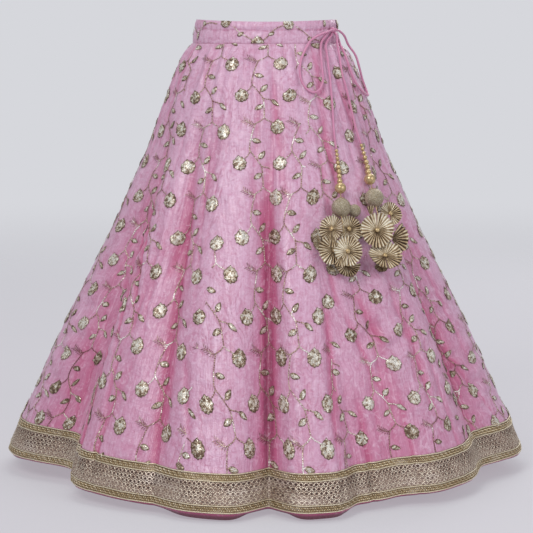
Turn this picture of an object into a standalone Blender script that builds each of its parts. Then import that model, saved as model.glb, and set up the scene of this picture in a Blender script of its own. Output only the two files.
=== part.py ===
"""A lehenga skirt: ten flared panels on a drawstring waistband, with a trimmed hem.

Metres, +Z up. The origin is the centre of the waist opening, in the plane of the
waistband's top edge. The front faces -Y and the wearer's left side is +X. The skirt is
filled out with no wearer: an open cone of cloth, open at the waist and at the hem.

A place on the skirt is a turn and a fall. Turn is the angle in degrees from the centre
front, positive towards +X. Fall is 0 at the waistband seam and 1 at the hem.
"""
import math

import bmesh
import bpy
import numpy as np
from mathutils import Matrix, Vector

# ---- driving dimensions -------------------------------------------------------------

GAP = 0.0003                 # between pieces that touch
CLOTH = 0.0012               # wall of a skirt panel
TRIM = 0.0012                # wall of a hem trim
BAND_WALL = 0.0030           # waistband, cloth turned double over the channel
BAND_HEIGHT = 0.052
CHANNEL_HEIGHT = 0.021       # upper part of the band, where the drawstring runs
BAND_DIP = 0.005             # centre front and back lie this much lower than the sides
BAND_SLIT = 62.0             # turn of the slit that the drawstring comes out of
SLIT_WIDTH = 0.0016
SIDE_SEAM = -90.0            # turn of the band's other join

DEPTH_LESS = 0.030           # half depth of the skirt is this much less than half width
HEM_LEVEL = -0.985           # hem at centre front and back
HEM_RISE = 0.0265            # how much higher the hem is at the sides
SKIRT_SLOPE = 24.0           # degrees by which the upper skirt leans out from upright
PANELS = 10
PANEL_TURN = 360.0 / PANELS
FIRST_SEAM = -90.0
PANEL_COLUMNS = 10

BORDER_HEIGHT = 0.082        # three trims, one above the other
BRAID_HEIGHT = 0.018         # the two edge braids
BORDER_CLEAR = 0.0015        # cloth that shows under the border

CORD = 0.005                 # drawstring diameter
THREAD = 0.002               # bead string diameter
CORD_STEP = 0.012            # distance between points along a cord
STRING_STEP = 0.006
BORE_PLAY = 0.0009           # clearance of a bead round its string
BALL_BORE = 0.0026           # radius of the hole through a glitter ball
CAP_WALL = 0.0009
CAP_RIM = 0.42               # radians from the ball's top to the cap's rim

# Half width of the skirt at each level.
SECTIONS = (
    # level, half_width
    (-0.0523, 0.1630),
    (-0.0600, 0.1700),
    (-0.0760, 0.1820),
    (-0.1110, 0.1990),
    (-0.1640, 0.2200),
    (-0.2175, 0.2400),
    (-0.2890, 0.2660),
    (-0.3600, 0.2990),
    (-0.4500, 0.3390),
    (-0.5220, 0.3750),
    (-0.6125, 0.4210),
    (-0.6850, 0.4570),
    (-0.7580, 0.4910),
    (-0.8320, 0.5250),
    (-0.8870, 0.5510),
    (-0.9420, 0.5730),
    (-0.9850, 0.5830),
)

# Ridges and valleys of the drape in turn, round the skirt from the right side seam.
# Depth is how far each one lies inside the full form, half way down and at the hem.
FOLDS = (
    # top_turn, hem_turn, mid_depth, hem_depth
    (-90.0, -90.0, 0.000, 0.000),
    (-60.0, -61.0, 0.045, 0.098),
    (-48.0, -39.0, 0.008, 0.030),
    (-40.0, -25.0, 0.030, 0.032),
    (-14.0, -11.0, 0.000, 0.004),
    (1.0, 0.5, 0.034, 0.066),
    (10.0, 11.0, 0.002, 0.006),
    (19.0, 22.0, 0.012, 0.060),
    (27.0, 32.0, 0.014, 0.066),
    (45.0, 46.0, 0.004, 0.034),
    (62.0, 65.0, 0.030, 0.064),
    (88.0, 89.0, 0.002, 0.004),
    (105.0, 107.0, 0.026, 0.055),
    (122.0, 123.0, 0.004, 0.010),
    (142.0, 139.0, 0.034, 0.074),
    (158.0, 156.0, 0.002, 0.006),
    (170.0, 171.0, 0.020, 0.050),
    (186.0, 187.0, 0.004, 0.012),
    (201.0, 203.0, 0.038, 0.082),
    (221.0, 220.0, 0.004, 0.008),
    (238.0, 240.0, 0.026, 0.056),
    (270.0, 270.0, 0.000, 0.000),
)
FOLD_FALLS = (0.0, 0.10, 0.50, 1.0)      # where a fold's depth is 0, 0, mid and hem
VALLEY_POWER = 2.1                       # over 1: narrow valleys between broad ridges

# Level and outward bulge of each edge, crease or crown across the waistband.
BAND_ROWS = (
    # drop, bulge
    (0.0000, 0.0000),
    (0.0100, 0.0022),
    (CHANNEL_HEIGHT, 0.0004),
    (0.0350, 0.0016),
    (BAND_HEIGHT, 0.0000),
)
BAND_TOP_HALF_WIDTH = 0.1530
BAND_FOOT_HALF_WIDTH = 0.1625

PANEL_ROWS = (0.0, 0.045, 0.13, 0.25, 0.38, 0.52, 0.66, 0.80)

# The drawstring's knot, loops and tails, and the strings that the tassels hang on.
# Turn, depth below the waist plane, and height of the cord's middle off the cloth.
KNOT_PLACE = (62.0, 0.0220, 0.0075)
KNOT_RADIUS = 0.005
CORD_ROUTES = {
    "loop_left": (
        (59.3, 0.0222, 0.0105), (52.0, 0.0260, 0.0098), (41.1, 0.0350, 0.0090),
        (34.5, 0.0460, 0.0080), (29.5, 0.0610, 0.0068), (22.6, 0.0900, 0.0055),
        (20.6, 0.1140, 0.0055), (20.8, 0.1320, 0.0055), (23.1, 0.1490, 0.0055),
        (27.4, 0.1570, 0.0055), (31.4, 0.1510, 0.0055), (34.9, 0.1330, 0.0055),
        (36.8, 0.1050, 0.0055), (38.6, 0.0800, 0.0055), (41.5, 0.0630, 0.0055),
        (46.0, 0.0480, 0.0060), (51.5, 0.0340, 0.0060), (56.2, 0.0262, 0.0052),
        (59.4, 0.0240, 0.0045),
    ),
    "loop_right": (
        (64.7, 0.0212, 0.0105), (70.0, 0.0245, 0.0120), (78.0, 0.0360, 0.0145),
        (85.0, 0.0570, 0.0145), (90.0, 0.0840, 0.0125), (93.0, 0.1120, 0.0095),
        (94.0, 0.1360, 0.0065), (91.5, 0.1570, 0.0055), (84.5, 0.1680, 0.0055),
        (76.5, 0.1660, 0.0055), (69.5, 0.1550, 0.0055), (65.5, 0.1380, 0.0055),
        (64.0, 0.1150, 0.0055), (65.0, 0.0880, 0.0055), (66.6, 0.0700, 0.0064),
        (67.9, 0.0560, 0.0086), (68.0, 0.0430, 0.0086), (66.7, 0.0335, 0.0068),
        (64.3, 0.0258, 0.0045),
    ),
    "tail_left": (
        (61.5, 0.0287, 0.0045), (58.7, 0.0350, 0.0050), (53.2, 0.0445, 0.0058),
        (47.8, 0.0590, 0.0058), (44.8, 0.0760, 0.0055), (42.5, 0.0990, 0.0055),
        (40.8, 0.1250, 0.0055), (38.6, 0.1650, 0.0055), (36.6, 0.2050, 0.0055),
        (35.0, 0.2430, 0.0055), (34.4, 0.2761, 0.0055),
    ),
    "tail_right": (
        (62.9, 0.0282, 0.0105), (63.5, 0.0370, 0.0112), (62.9, 0.0480, 0.0118),
        (60.6, 0.0620, 0.0086), (57.2, 0.0790, 0.0062), (54.3, 0.1000, 0.0055),
        (52.6, 0.1220, 0.0055), (52.0, 0.1590, 0.0055), (51.0, 0.1970, 0.0055),
        (50.6, 0.2350, 0.0055), (51.1, 0.2676, 0.0055),
    ),
}
STRING_ROUTES = {
    "left": (
        (34.4, 0.2765, 0.0056), (34.0, 0.2920, 0.0058), (33.5, 0.3060, 0.0066),
        (33.0, 0.3160, 0.0075), (32.5, 0.3280, 0.0090), (31.7, 0.3390, 0.0115),
        (30.6, 0.3580, 0.0175), (29.3, 0.3770, 0.0232), (28.0, 0.4010, 0.0290),
        (27.2, 0.4230, 0.0305), (27.3, 0.4450, 0.0285), (26.9, 0.4670, 0.0275),
        (25.9, 0.4880, 0.0275), (25.1, 0.5110, 0.0275),
    ),
    "right": (
        (51.1, 0.2680, 0.0056), (51.1, 0.2800, 0.0058), (50.7, 0.2960, 0.0066),
        (50.1, 0.3070, 0.0076), (49.4, 0.3170, 0.0090), (48.2, 0.3290, 0.0112),
        (46.2, 0.3480, 0.0160), (44.9, 0.3670, 0.0205), (44.0, 0.3850, 0.0240),
        (43.0, 0.4030, 0.0270), (42.4, 0.4250, 0.0290), (42.1, 0.4450, 0.0288),
        (41.8, 0.4620, 0.0265), (41.6, 0.4780, 0.0240),
    ),
}

# Small beads grow from the cord's end down to the large bead.
BEAD_STRINGS = {
    # side: (beads, first_diameter, growth, large_diameter, ball_diameter, ball_at)
    "left": (8, 0.0078, 0.00062, 0.0243, 0.0410, 0.4010),
    "right": (7, 0.0076, 0.00098, 0.0250, 0.0405, 0.3850),
}
SPARE_BALL = (34.4, 0.4080, 0.0165, 0.0276)     # turn, down, lift, diameter

# Pleated fans and rosettes of stiff tissue. Aim is the middle of the spread in degrees,
# 0 to the right and 90 up as the fan is seen. A fan's face points face_turn degrees from
# the front towards +X and face_tip degrees up.
FANS = (
    # name, turn, down, lift, radius, spread, aim, face_turn, face_tip
    ("fan_left_1", 22.0, 0.449, 0.0385, 0.0279, 357.0, 90.0, -38.0, 10.0),
    ("fan_left_2", 30.2, 0.446, 0.0215, 0.0277, 357.0, 90.0, 20.0, 14.0),
    ("fan_left_3", 25.6, 0.497, 0.0470, 0.0301, 357.0, 90.0, 18.0, 12.0),
    ("fan_left_4", 22.0, 0.489, 0.0340, 0.0316, 190.0, 215.0, 0.0, 8.0),
    ("fan_left_5", 20.5, 0.465, 0.0580, 0.0265, 46.0, 277.0, -4.0, 4.0),
    ("fan_left_6", 22.5, 0.508, 0.0580, 0.0231, 64.0, 256.0, 4.0, 16.0),
    ("fan_left_7", 26.8, 0.516, 0.0200, 0.0263, 184.0, 272.0, 12.0, 32.0),
    ("fan_left_8", 19.3, 0.467, 0.0110, 0.0171, 150.0, 178.0, 14.0, 14.0),
    ("fan_left_9", 36.1, 0.438, 0.0090, 0.0118, 200.0, 275.0, 26.0, 20.0),
    ("fan_left_10", 22.1, 0.513, 0.0095, 0.0133, 120.0, 245.0, 18.0, 22.0),
    ("fan_right_1", 38.5, 0.430, 0.0330, 0.0261, 38.0, 94.0, 4.0, 10.0),
    ("fan_right_2", 50.8, 0.421, 0.0220, 0.0248, 300.0, 55.0, 26.0, 18.0),
    ("fan_right_3", 38.2, 0.457, 0.0430, 0.0347, 357.0, 270.0, 10.0, 10.0),
    ("fan_right_4", 45.3, 0.473, 0.0290, 0.0364, 118.0, -2.0, 16.0, 12.0),
    ("fan_right_5", 39.1, 0.507, 0.0372, 0.0342, 357.0, 90.0, 14.0, 44.0),
    ("fan_right_6", 39.9, 0.519, 0.0120, 0.0148, 170.0, 265.0, 20.0, 20.0),
)
FAN_HUB = 0.0032             # radius that a fan's pleats are gathered into
FAN_PLEAT = 0.0012           # height of a pleat at the rim, either side of the middle
FAN_WALL = 0.0008
FAN_STEP = 24.0              # degrees of spread for each pleat


# ---- form of the cloth --------------------------------------------------------------

def smooth(at, stations, values):
    """Cubic curve through the values at the stations, with the slopes of its neighbours."""
    stations = np.asarray(stations, dtype=float)
    values = np.asarray(values, dtype=float)
    slopes = np.gradient(values, stations)
    at = np.clip(at, stations[0], stations[-1])
    left = np.clip(np.searchsorted(stations, at, side="right") - 1, 0, len(stations) - 2)
    width = stations[left + 1] - stations[left]
    u = (at - stations[left]) / width
    return (values[left] * (1 + 2 * u) * (1 - u) ** 2
            + slopes[left] * width * u * (1 - u) ** 2
            + values[left + 1] * u * u * (3 - 2 * u)
            + slopes[left + 1] * width * u * u * (u - 1))


def fold_depth(turn, fall):
    """How far the folds draw the cloth in: cosine waves between the rows of FOLDS."""
    turn = np.mod(turn + 90.0, 360.0) - 90.0
    depth = np.zeros(np.broadcast(turn, fall).shape)
    rows = []
    for top_turn, hem_turn, mid_depth, hem_depth in FOLDS:
        place = top_turn + (hem_turn - top_turn) * fall
        reach = smooth(fall, FOLD_FALLS, (0.0, 0.0, mid_depth, hem_depth))
        rows.append((place, np.maximum(reach, 0.0)))
    for (start, start_depth), (end, end_depth) in zip(rows, rows[1:]):
        along = np.clip((turn - start) / (end - start), 0.0, 1.0)
        from_ridge = np.where(end_depth > start_depth, along, 1.0 - along)
        wave = (0.5 - 0.5 * np.cos(math.pi * from_ridge)) ** VALLEY_POWER
        shallow = np.minimum(start_depth, end_depth)
        value = shallow + np.abs(end_depth - start_depth) * wave
        depth = np.where((turn >= start) & (turn <= end), value, depth)
    return depth


def skirt_points(turn, fall):
    """Points on the outside of the skirt: an oval cone, drawn in along its folds."""
    turn, fall = np.broadcast_arrays(np.asarray(turn, float), np.asarray(fall, float))
    angle = np.radians(turn)
    hem = HEM_LEVEL + HEM_RISE * np.sin(angle) ** 2
    top = SECTIONS[0][0]
    level = top + (hem - top) * fall
    stations = [-row[0] for row in SECTIONS]
    half_width = smooth(-level, stations, [row[1] for row in SECTIONS])
    x = half_width * np.sin(angle)
    y = -(half_width - DEPTH_LESS) * np.cos(angle)
    inward = 1.0 - fold_depth(turn, fall) / np.hypot(x, y)
    return np.stack([x * inward, y * inward, level], axis=-1)


def band_points(turn, drop):
    """Points on the outside of the waistband: an oval, wider at its foot, with a bulge."""
    turn, drop = np.broadcast_arrays(np.asarray(turn, float), np.asarray(drop, float))
    angle = np.radians(turn)
    bulge = np.interp(drop, [row[0] for row in BAND_ROWS], [row[1] for row in BAND_ROWS])
    widen = (BAND_FOOT_HALF_WIDTH - BAND_TOP_HALF_WIDTH) * drop / BAND_HEIGHT
    half_width = BAND_TOP_HALF_WIDTH + widen + bulge
    x = half_width * np.sin(angle)
    y = -(half_width - DEPTH_LESS) * np.cos(angle)
    dip = BAND_DIP * np.cos(angle) ** 2 * (1.0 - drop / BAND_HEIGHT)
    return np.stack([x, y, -drop - dip], axis=-1)


def normals(points_at, turn, along, step=0.002):
    """Outward unit normals of a surface, from two short steps along it."""
    across = points_at(turn + 0.2, along) - points_at(turn - 0.2, along)
    down = points_at(turn, along + step) - points_at(turn, along - step)
    normal = np.cross(down, across)
    return normal / np.linalg.norm(normal, axis=-1, keepdims=True)


def garment_points(turn, down):
    """Points on the outside of the whole garment, by depth below the waist plane."""
    turn, down = np.broadcast_arrays(np.asarray(turn, float), np.asarray(down, float))
    hem = HEM_LEVEL + HEM_RISE * np.sin(np.radians(turn)) ** 2
    top = SECTIONS[0][0]
    fall = np.clip((-down - top) / (hem - top), 0.0, 1.0)
    on_band = (down < BAND_HEIGHT)[..., None]
    drop = np.clip(down, 0.0, BAND_HEIGHT)
    return np.where(on_band, band_points(turn, drop), skirt_points(turn, fall))


def outward(turn, down):
    """Unit directions away from the garment: level at the band, tipped up on the skirt."""
    tip = np.radians(SKIRT_SLOPE) * np.clip((np.asarray(down) - 0.03) / 0.06, 0.0, 1.0)
    angle = np.radians(turn)
    return np.stack([np.sin(angle) * np.cos(tip), -np.cos(angle) * np.cos(tip),
                     np.sin(tip) + 0.0 * angle], axis=-1)


def clear_of_cloth(places):
    """Points from rows of turn, depth below the waist and height off the cloth."""
    turn, down, lift = np.asarray(places, dtype=float).T
    return garment_points(turn, down) + outward(turn, down) * lift[:, None]


# ---- scene and materials ------------------------------------------------------------

COLLECTION = "lehenga_skirt"


def clear_scene():
    for obj in list(bpy.data.objects):
        bpy.data.objects.remove(obj, do_unlink=True)


def new_collection(name):
    collection = bpy.data.collections.new(name)
    bpy.context.scene.collection.children.link(collection)


def finish_material(name, color, roughness, metallic):
    material = bpy.data.materials.new(name)
    material.use_nodes = True
    shader = material.node_tree.nodes["Principled BSDF"]
    shader.inputs["Base Color"].default_value = (*color, 1.0)
    shader.inputs["Roughness"].default_value = roughness
    shader.inputs["Metallic"].default_value = metallic
    return material


def add_object(name, data, finish):
    """Link an object into the skirt's collection, with a material of its own."""
    obj = bpy.data.objects.new(name, data)
    bpy.data.collections[COLLECTION].objects.link(obj)
    data.materials.append(finish_material(name, *finish))
    return obj


# colour, roughness, metallic
SILK = ((0.62, 0.30, 0.45), 0.55, 0.0)
SATIN_CORD = ((0.55, 0.20, 0.33), 0.45, 0.0)
GOLD_BRAID = ((0.33, 0.24, 0.13), 0.45, 0.6)
GOLD_NET = ((0.28, 0.20, 0.11), 0.50, 0.5)
GOLD_BEAD = ((0.55, 0.36, 0.14), 0.25, 0.9)
GOLD_GLITTER = ((0.35, 0.26, 0.12), 0.50, 0.7)
GOLD_TISSUE = ((0.42, 0.31, 0.16), 0.40, 0.6)


# ---- cloth pieces -------------------------------------------------------------------

def lay_grid(sheet, points, outward):
    """Add one face of a wall: a grid moved to an array of points, rows by columns."""
    rows, columns = points.shape[:2]
    made = bmesh.ops.create_grid(sheet, x_segments=columns - 1, y_segments=rows - 1, size=1.0)
    for vertex in made["verts"]:
        column = round((vertex.co.x + 1.0) / 2.0 * (columns - 1))
        row = round((1.0 - vertex.co.y) / 2.0 * (rows - 1))
        vertex.co = points[row, column]
    if not outward:
        faces = {face for vertex in made["verts"] for face in vertex.link_faces}
        bmesh.ops.reverse_faces(sheet, faces=list(faces))


def cloth_wall(name, outer, inner, finish):
    """A wall of cloth between two grids of points, closed round its edge."""
    wall = bmesh.new()
    lay_grid(wall, outer, True)
    lay_grid(wall, inner, False)
    rim = [edge for edge in wall.edges if edge.is_boundary]
    bmesh.ops.bridge_loops(wall, edges=rim)
    mesh = bpy.data.meshes.new(name)
    wall.to_mesh(mesh)
    wall.free()
    return add_object(name, mesh, finish)


def wall_on(points_at, turns, along, lift, thickness):
    """Outer and inner points of a wall that stands off a surface by lift."""
    turn, down = np.broadcast_arrays(turns[None, :], along[:, None])
    normal = normals(points_at, turn, down)
    base = points_at(turn, down)
    return base + normal * (lift + thickness), base + normal * lift


def turn_margin(surface_radius):
    """Half of a seam's gap, as an angle in degrees at that radius."""
    return math.degrees(GAP / 2.0 / surface_radius)


def border_falls():
    """Falls of the border's edges: top, under the upper braid, over the lower, foot."""
    length = SECTIONS[0][0] - HEM_LEVEL
    slope = 1.0 / (length * 1.06)          # the cloth runs aslant, a little longer
    foot = 1.0 - BORDER_CLEAR * slope
    return (foot - BORDER_HEIGHT * slope,
            foot - (BORDER_HEIGHT - BRAID_HEIGHT) * slope,
            foot - BRAID_HEIGHT * slope,
            foot)


def skirt_panels():
    """The ten flared panels, each from the band seam to the hem."""
    falls = np.array(PANEL_ROWS + border_falls() + (1.0,))
    edge = turn_margin(SECTIONS[0][1])
    for number in range(PANELS):
        start = FIRST_SEAM + number * PANEL_TURN
        turns = np.linspace(start, start + PANEL_TURN, PANEL_COLUMNS + 1)
        turns[0] += edge
        turns[-1] -= edge
        outer, inner = wall_on(skirt_points, turns, falls, -CLOTH, CLOTH)
        cloth_wall(f"panel_{number + 1:02d}", outer, inner, SILK)


def hem_border():
    """Two braids with a net band between them, laid on the panels' own points."""
    top, under_upper, over_lower, foot = border_falls()
    columns = PANELS * PANEL_COLUMNS
    turns = FIRST_SEAM + np.linspace(0.0, 360.0, columns + 1)
    turns[0] += turn_margin(SECTIONS[-1][1])
    turns[-1] -= turn_margin(SECTIONS[-1][1])
    seam = GAP / 2.0 / (SECTIONS[0][0] - HEM_LEVEL)
    strips = (
        ("border_upper_braid", top, under_upper - seam, GOLD_BRAID),
        ("border_net", under_upper + seam, over_lower - seam, GOLD_NET),
        ("border_lower_braid", over_lower + seam, foot, GOLD_BRAID),
    )
    for name, start, end, finish in strips:
        falls = np.array([start, end])
        outer, inner = wall_on(skirt_points, turns, falls, GAP, TRIM)
        cloth_wall(name, outer, inner, finish)


def waistband():
    """Front and back of the band, which part at the slit and join at the side seam."""
    half_slit = math.degrees(SLIT_WIDTH / 2.0 / BAND_TOP_HALF_WIDTH)
    edge = turn_margin(BAND_TOP_HALF_WIDTH)
    parts = (
        ("waistband_front", SIDE_SEAM + edge, BAND_SLIT - half_slit, 20),
        ("waistband_back", BAND_SLIT + half_slit, SIDE_SEAM + 360.0 - edge, 26),
    )
    drops = np.array([row[0] for row in BAND_ROWS])
    for name, start, end, columns in parts:
        turns = np.linspace(start, end, columns + 1)
        outer, inner = wall_on(band_points, turns, drops, -BAND_WALL, BAND_WALL)
        cloth_wall(name, outer, inner, SILK)


# ---- drawstring ---------------------------------------------------------------------

def smooth_route(points, step):
    """Evenly spaced points on a smooth curve through a route's own points."""
    points = np.asarray(points, dtype=float)
    chord = np.r_[0.0, np.cumsum(np.linalg.norm(np.diff(points, axis=0), axis=1))]
    fine = np.linspace(0.0, chord[-1], 40 * len(points))
    curve = np.stack([smooth(fine, chord, points[:, i]) for i in range(3)], axis=-1)
    run = np.r_[0.0, np.cumsum(np.linalg.norm(np.diff(curve, axis=0), axis=1))]
    count = max(4, round(run[-1] / step) + 1)
    even = np.linspace(0.0, run[-1], count)
    return np.stack([np.interp(even, run, curve[:, i]) for i in range(3)], axis=-1)


def cord_tube(name, points, diameter, finish):
    """A round cord along a route, with closed ends."""
    curve = bpy.data.curves.new(name, "CURVE")
    curve.dimensions = "3D"
    curve.bevel_depth = diameter / 2.0
    curve.bevel_resolution = 2
    curve.use_fill_caps = True
    spline = curve.splines.new("POLY")
    spline.points.add(len(points) - 1)
    for point, place in zip(spline.points, points):
        point.co = (*place, 1.0)
    return add_object(name, curve, finish)


def along(points, distance, reach):
    """Middle and direction of a piece that spans a distance along a route, plus or minus reach."""
    run = np.r_[0.0, np.cumsum(np.linalg.norm(np.diff(points, axis=0), axis=1))]
    ends = [Vector([np.interp(at, run, points[:, i]) for i in range(3)])
            for at in (distance - reach, distance + reach)]
    return (ends[0] + ends[1]) / 2.0, (ends[1] - ends[0]).normalized()


def drawstring():
    """A bow at the slit: a knot, two loops and two tails."""
    knot = bmesh.new()
    bmesh.ops.create_uvsphere(knot, u_segments=10, v_segments=6, radius=KNOT_RADIUS)
    mesh = bpy.data.meshes.new("knot")
    knot.to_mesh(mesh)
    knot.free()
    mesh.shade_smooth()
    add_object("knot", mesh, SATIN_CORD).location = clear_of_cloth([KNOT_PLACE])[0]
    for name, route in CORD_ROUTES.items():
        points = smooth_route(clear_of_cloth(route), CORD_STEP)
        cord_tube(name, points, CORD, SATIN_CORD)


# ---- tassels ------------------------------------------------------------------------

def turned(name, profile, steps, place, direction, finish):
    """A turned piece from a closed profile of (radius, height), its foot at place."""
    mesh = bpy.data.meshes.new(name)
    count = len(profile)
    edges = [(i, (i + 1) % count) for i in range(count)]
    mesh.from_pydata([(radius, 0.0, height) for radius, height in profile], edges, [])
    obj = add_object(name, mesh, finish)
    screw = obj.modifiers.new("turn", "SCREW")
    screw.steps = steps
    screw.render_steps = steps
    screw.use_merge_vertices = True
    screw.merge_threshold = 0.00001
    obj.location = place
    obj.rotation_euler = direction.to_track_quat("-Z", "Y").to_euler()
    return obj


def bored_ball(radius, bore, arcs):
    """Profile of a ball with a hole through it, down its outer side and up the bore."""
    edge = math.asin(bore / radius)
    angles = np.linspace(edge, math.pi - edge, arcs + 1)
    return [(radius * math.sin(a), radius * math.cos(a)) for a in angles]


def cap_profile(radius, bore, rim, arcs):
    """Profile of a thin cup that sits over the top of a ball."""
    edge = math.asin(bore / radius)
    outer = [(radius + CAP_WALL, a) for a in np.linspace(edge, rim, arcs + 1)]
    inner = [(radius, a) for a in np.linspace(rim, edge, arcs + 1)]
    return [(r * math.sin(a), r * math.cos(a)) for r, a in outer + inner]


def tassel_string(side):
    """One tassel's string, with its beads, large bead, cap and glitter ball."""
    count, first, growth, large, ball, ball_down = BEAD_STRINGS[side]
    points = smooth_route(clear_of_cloth(STRING_ROUTES[side]), STRING_STEP)
    cord_tube(f"string_{side}", points, THREAD, SATIN_CORD)
    bore = THREAD / 2.0 + BORE_PLAY
    at = GAP + first / 2.0
    diameter = first
    for number in range(count):
        place, direction = along(points, at, diameter / 2.0)
        turned(f"bead_{side}_{number + 1}", bored_ball(diameter / 2.0, bore, 4), 8,
               place, direction, GOLD_BEAD)
        following = large if number == count - 1 else diameter + growth
        at += (diameter + following) / 2.0 + GAP
        diameter = following
    place, direction = along(points, at, large / 2.0)
    turned(f"large_bead_{side}", bored_ball(large / 2.0, bore, 7), 12,
           place, direction, GOLD_BEAD)
    run = np.r_[0.0, np.cumsum(np.linalg.norm(np.diff(points, axis=0), axis=1))]
    ball_level = clear_of_cloth([row for row in STRING_ROUTES[side] if row[1] == ball_down])
    nearest = np.argmin(np.linalg.norm(points - ball_level[0], axis=1))
    place, direction = along(points, run[nearest], ball / 2.0)
    turned(f"glitter_ball_{side}", bored_ball(ball / 2.0, BALL_BORE, 9), 14,
           place, direction, GOLD_GLITTER)
    turned(f"cap_{side}", cap_profile(ball / 2.0 + GAP, BALL_BORE, CAP_RIM, 3), 14,
           place, direction, GOLD_BEAD)


def pleated_fan(name, turn, down, lift, radius, spread, aim, face_turn, face_tip):
    """A pleated fan: spokes that zigzag off its middle plane, more towards the rim."""
    face = Vector((0.0, -1.0, 0.0))
    face.rotate(Matrix.Rotation(math.radians(-face_tip), 3, "X"))
    face.rotate(Matrix.Rotation(math.radians(face_turn), 3, "Z"))
    side = Vector((0.0, 0.0, 1.0)).cross(face).normalized()
    up = face.cross(side)
    spokes = 2 * max(2, round(spread / FAN_STEP)) + 1
    angles = np.radians(np.linspace(aim - spread / 2.0, aim + spread / 2.0, spokes))
    rise = FAN_PLEAT * (-1.0) ** np.arange(spokes)
    frame = np.array([side, up, face])
    base = []
    for reach, height in ((radius, rise), (FAN_HUB, rise * FAN_HUB / radius)):
        local = np.stack([reach * np.cos(angles), reach * np.sin(angles), height], axis=-1)
        base.append(local @ frame)
    middle = np.array(base)[:, ::-1] + clear_of_cloth([(turn, down, lift)])[0]
    half = np.array(face) * FAN_WALL / 2.0
    cloth_wall(name, middle + half, middle - half, GOLD_TISSUE)


def tassels():
    for side in BEAD_STRINGS:
        tassel_string(side)
    turn, down, lift, diameter = SPARE_BALL
    place = Vector(clear_of_cloth([(turn, down, lift)])[0])
    turned("spare_ball", bored_ball(diameter / 2.0, BALL_BORE, 7), 12,
           place, Vector((0.0, 0.0, -1.0)), GOLD_GLITTER)
    for row in FANS:
        pleated_fan(*row)


def build():
    skirt_panels()
    hem_border()
    waistband()
    drawstring()
    tassels()


def main():
    clear_scene()
    new_collection(COLLECTION)
    build()


main()
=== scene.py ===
"""Looks of a lehenga skirt: silk panels, sequin embroidery, trims, a bow and tassels.

Metres, +Z up. The front faces -Y and the wearer's left side is +X. A place on the skirt
is a turn, in degrees from the centre front towards +X, and a fall, 0 at the waistband's
seam and 1 at the hem. A place on a panel's flat cut is metres across from the panel's
middle and metres down from the band.
"""
import math

import bpy
import numpy as np
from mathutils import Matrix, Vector


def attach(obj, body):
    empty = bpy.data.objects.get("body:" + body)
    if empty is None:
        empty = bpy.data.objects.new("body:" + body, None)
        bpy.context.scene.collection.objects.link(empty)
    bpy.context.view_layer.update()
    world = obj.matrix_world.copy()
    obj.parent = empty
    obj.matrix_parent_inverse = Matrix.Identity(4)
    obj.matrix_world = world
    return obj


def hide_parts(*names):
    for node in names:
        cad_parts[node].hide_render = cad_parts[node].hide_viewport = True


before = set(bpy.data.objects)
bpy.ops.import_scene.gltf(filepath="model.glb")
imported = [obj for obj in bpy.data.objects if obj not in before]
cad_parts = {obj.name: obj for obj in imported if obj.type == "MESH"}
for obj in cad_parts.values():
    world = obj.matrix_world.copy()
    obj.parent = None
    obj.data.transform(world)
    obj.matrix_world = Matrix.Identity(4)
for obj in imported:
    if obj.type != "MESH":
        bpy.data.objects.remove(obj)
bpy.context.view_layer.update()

# ---- sizes that the CAD source has too ----

GAP = 0.0003
CLOTH = 0.0012
BAND_WALL = 0.0030
BAND_HEIGHT = 0.052
CHANNEL_HEIGHT = 0.021
BAND_DIP = 0.005
BAND_SLIT = 62.0
SLIT_WIDTH = 0.0016
SIDE_SEAM = -90.0
DEPTH_LESS = 0.030
HEM_LEVEL = -0.985
HEM_RISE = 0.0265
SKIRT_SLOPE = 24.0
SLOPE_FROM = 0.03
SLOPE_WITHIN = 0.06
PANELS = 10
PANEL_TURN = 360.0 / PANELS
FIRST_SEAM = -90.0
BORDER_HEIGHT = 0.082
BRAID_HEIGHT = 0.018
BORDER_CLEAR = 0.0015
BORDER_SLANT = 1.06
CORD = 0.005
THREAD = 0.002
BALL_BORE = 0.0026
CAP_RIM = 0.42

SECTIONS = (
    # level, half_width
    (-0.0523, 0.1630), (-0.0600, 0.1700), (-0.0760, 0.1820), (-0.1110, 0.1990),
    (-0.1640, 0.2200), (-0.2175, 0.2400), (-0.2890, 0.2660), (-0.3600, 0.2990),
    (-0.4500, 0.3390), (-0.5220, 0.3750), (-0.6125, 0.4210), (-0.6850, 0.4570),
    (-0.7580, 0.4910), (-0.8320, 0.5250), (-0.8870, 0.5510), (-0.9420, 0.5730),
    (-0.9850, 0.5830),
)
TOP_LEVEL = SECTIONS[0][0]
FOLDS = (
    # top_turn, hem_turn, mid_depth, hem_depth
    (-90.0, -90.0, 0.000, 0.000),
    (-60.0, -61.0, 0.045, 0.098),
    (-48.0, -39.0, 0.008, 0.030),
    (-40.0, -25.0, 0.030, 0.032),
    (-14.0, -11.0, 0.000, 0.004),
    (1.0, 0.5, 0.034, 0.066),
    (10.0, 11.0, 0.002, 0.006),
    (19.0, 22.0, 0.012, 0.060),
    (27.0, 32.0, 0.014, 0.066),
    (45.0, 46.0, 0.004, 0.034),
    (62.0, 65.0, 0.030, 0.064),
    (88.0, 89.0, 0.002, 0.004),
    (105.0, 107.0, 0.026, 0.055),
    (122.0, 123.0, 0.004, 0.010),
    (142.0, 139.0, 0.034, 0.074),
    (158.0, 156.0, 0.002, 0.006),
    (170.0, 171.0, 0.020, 0.050),
    (186.0, 187.0, 0.004, 0.012),
    (201.0, 203.0, 0.038, 0.082),
    (221.0, 220.0, 0.004, 0.008),
    (238.0, 240.0, 0.026, 0.056),
    (270.0, 270.0, 0.000, 0.000),
)
FOLD_FALLS = (0.0, 0.10, 0.50, 1.0)
VALLEY_POWER = 2.1
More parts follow.
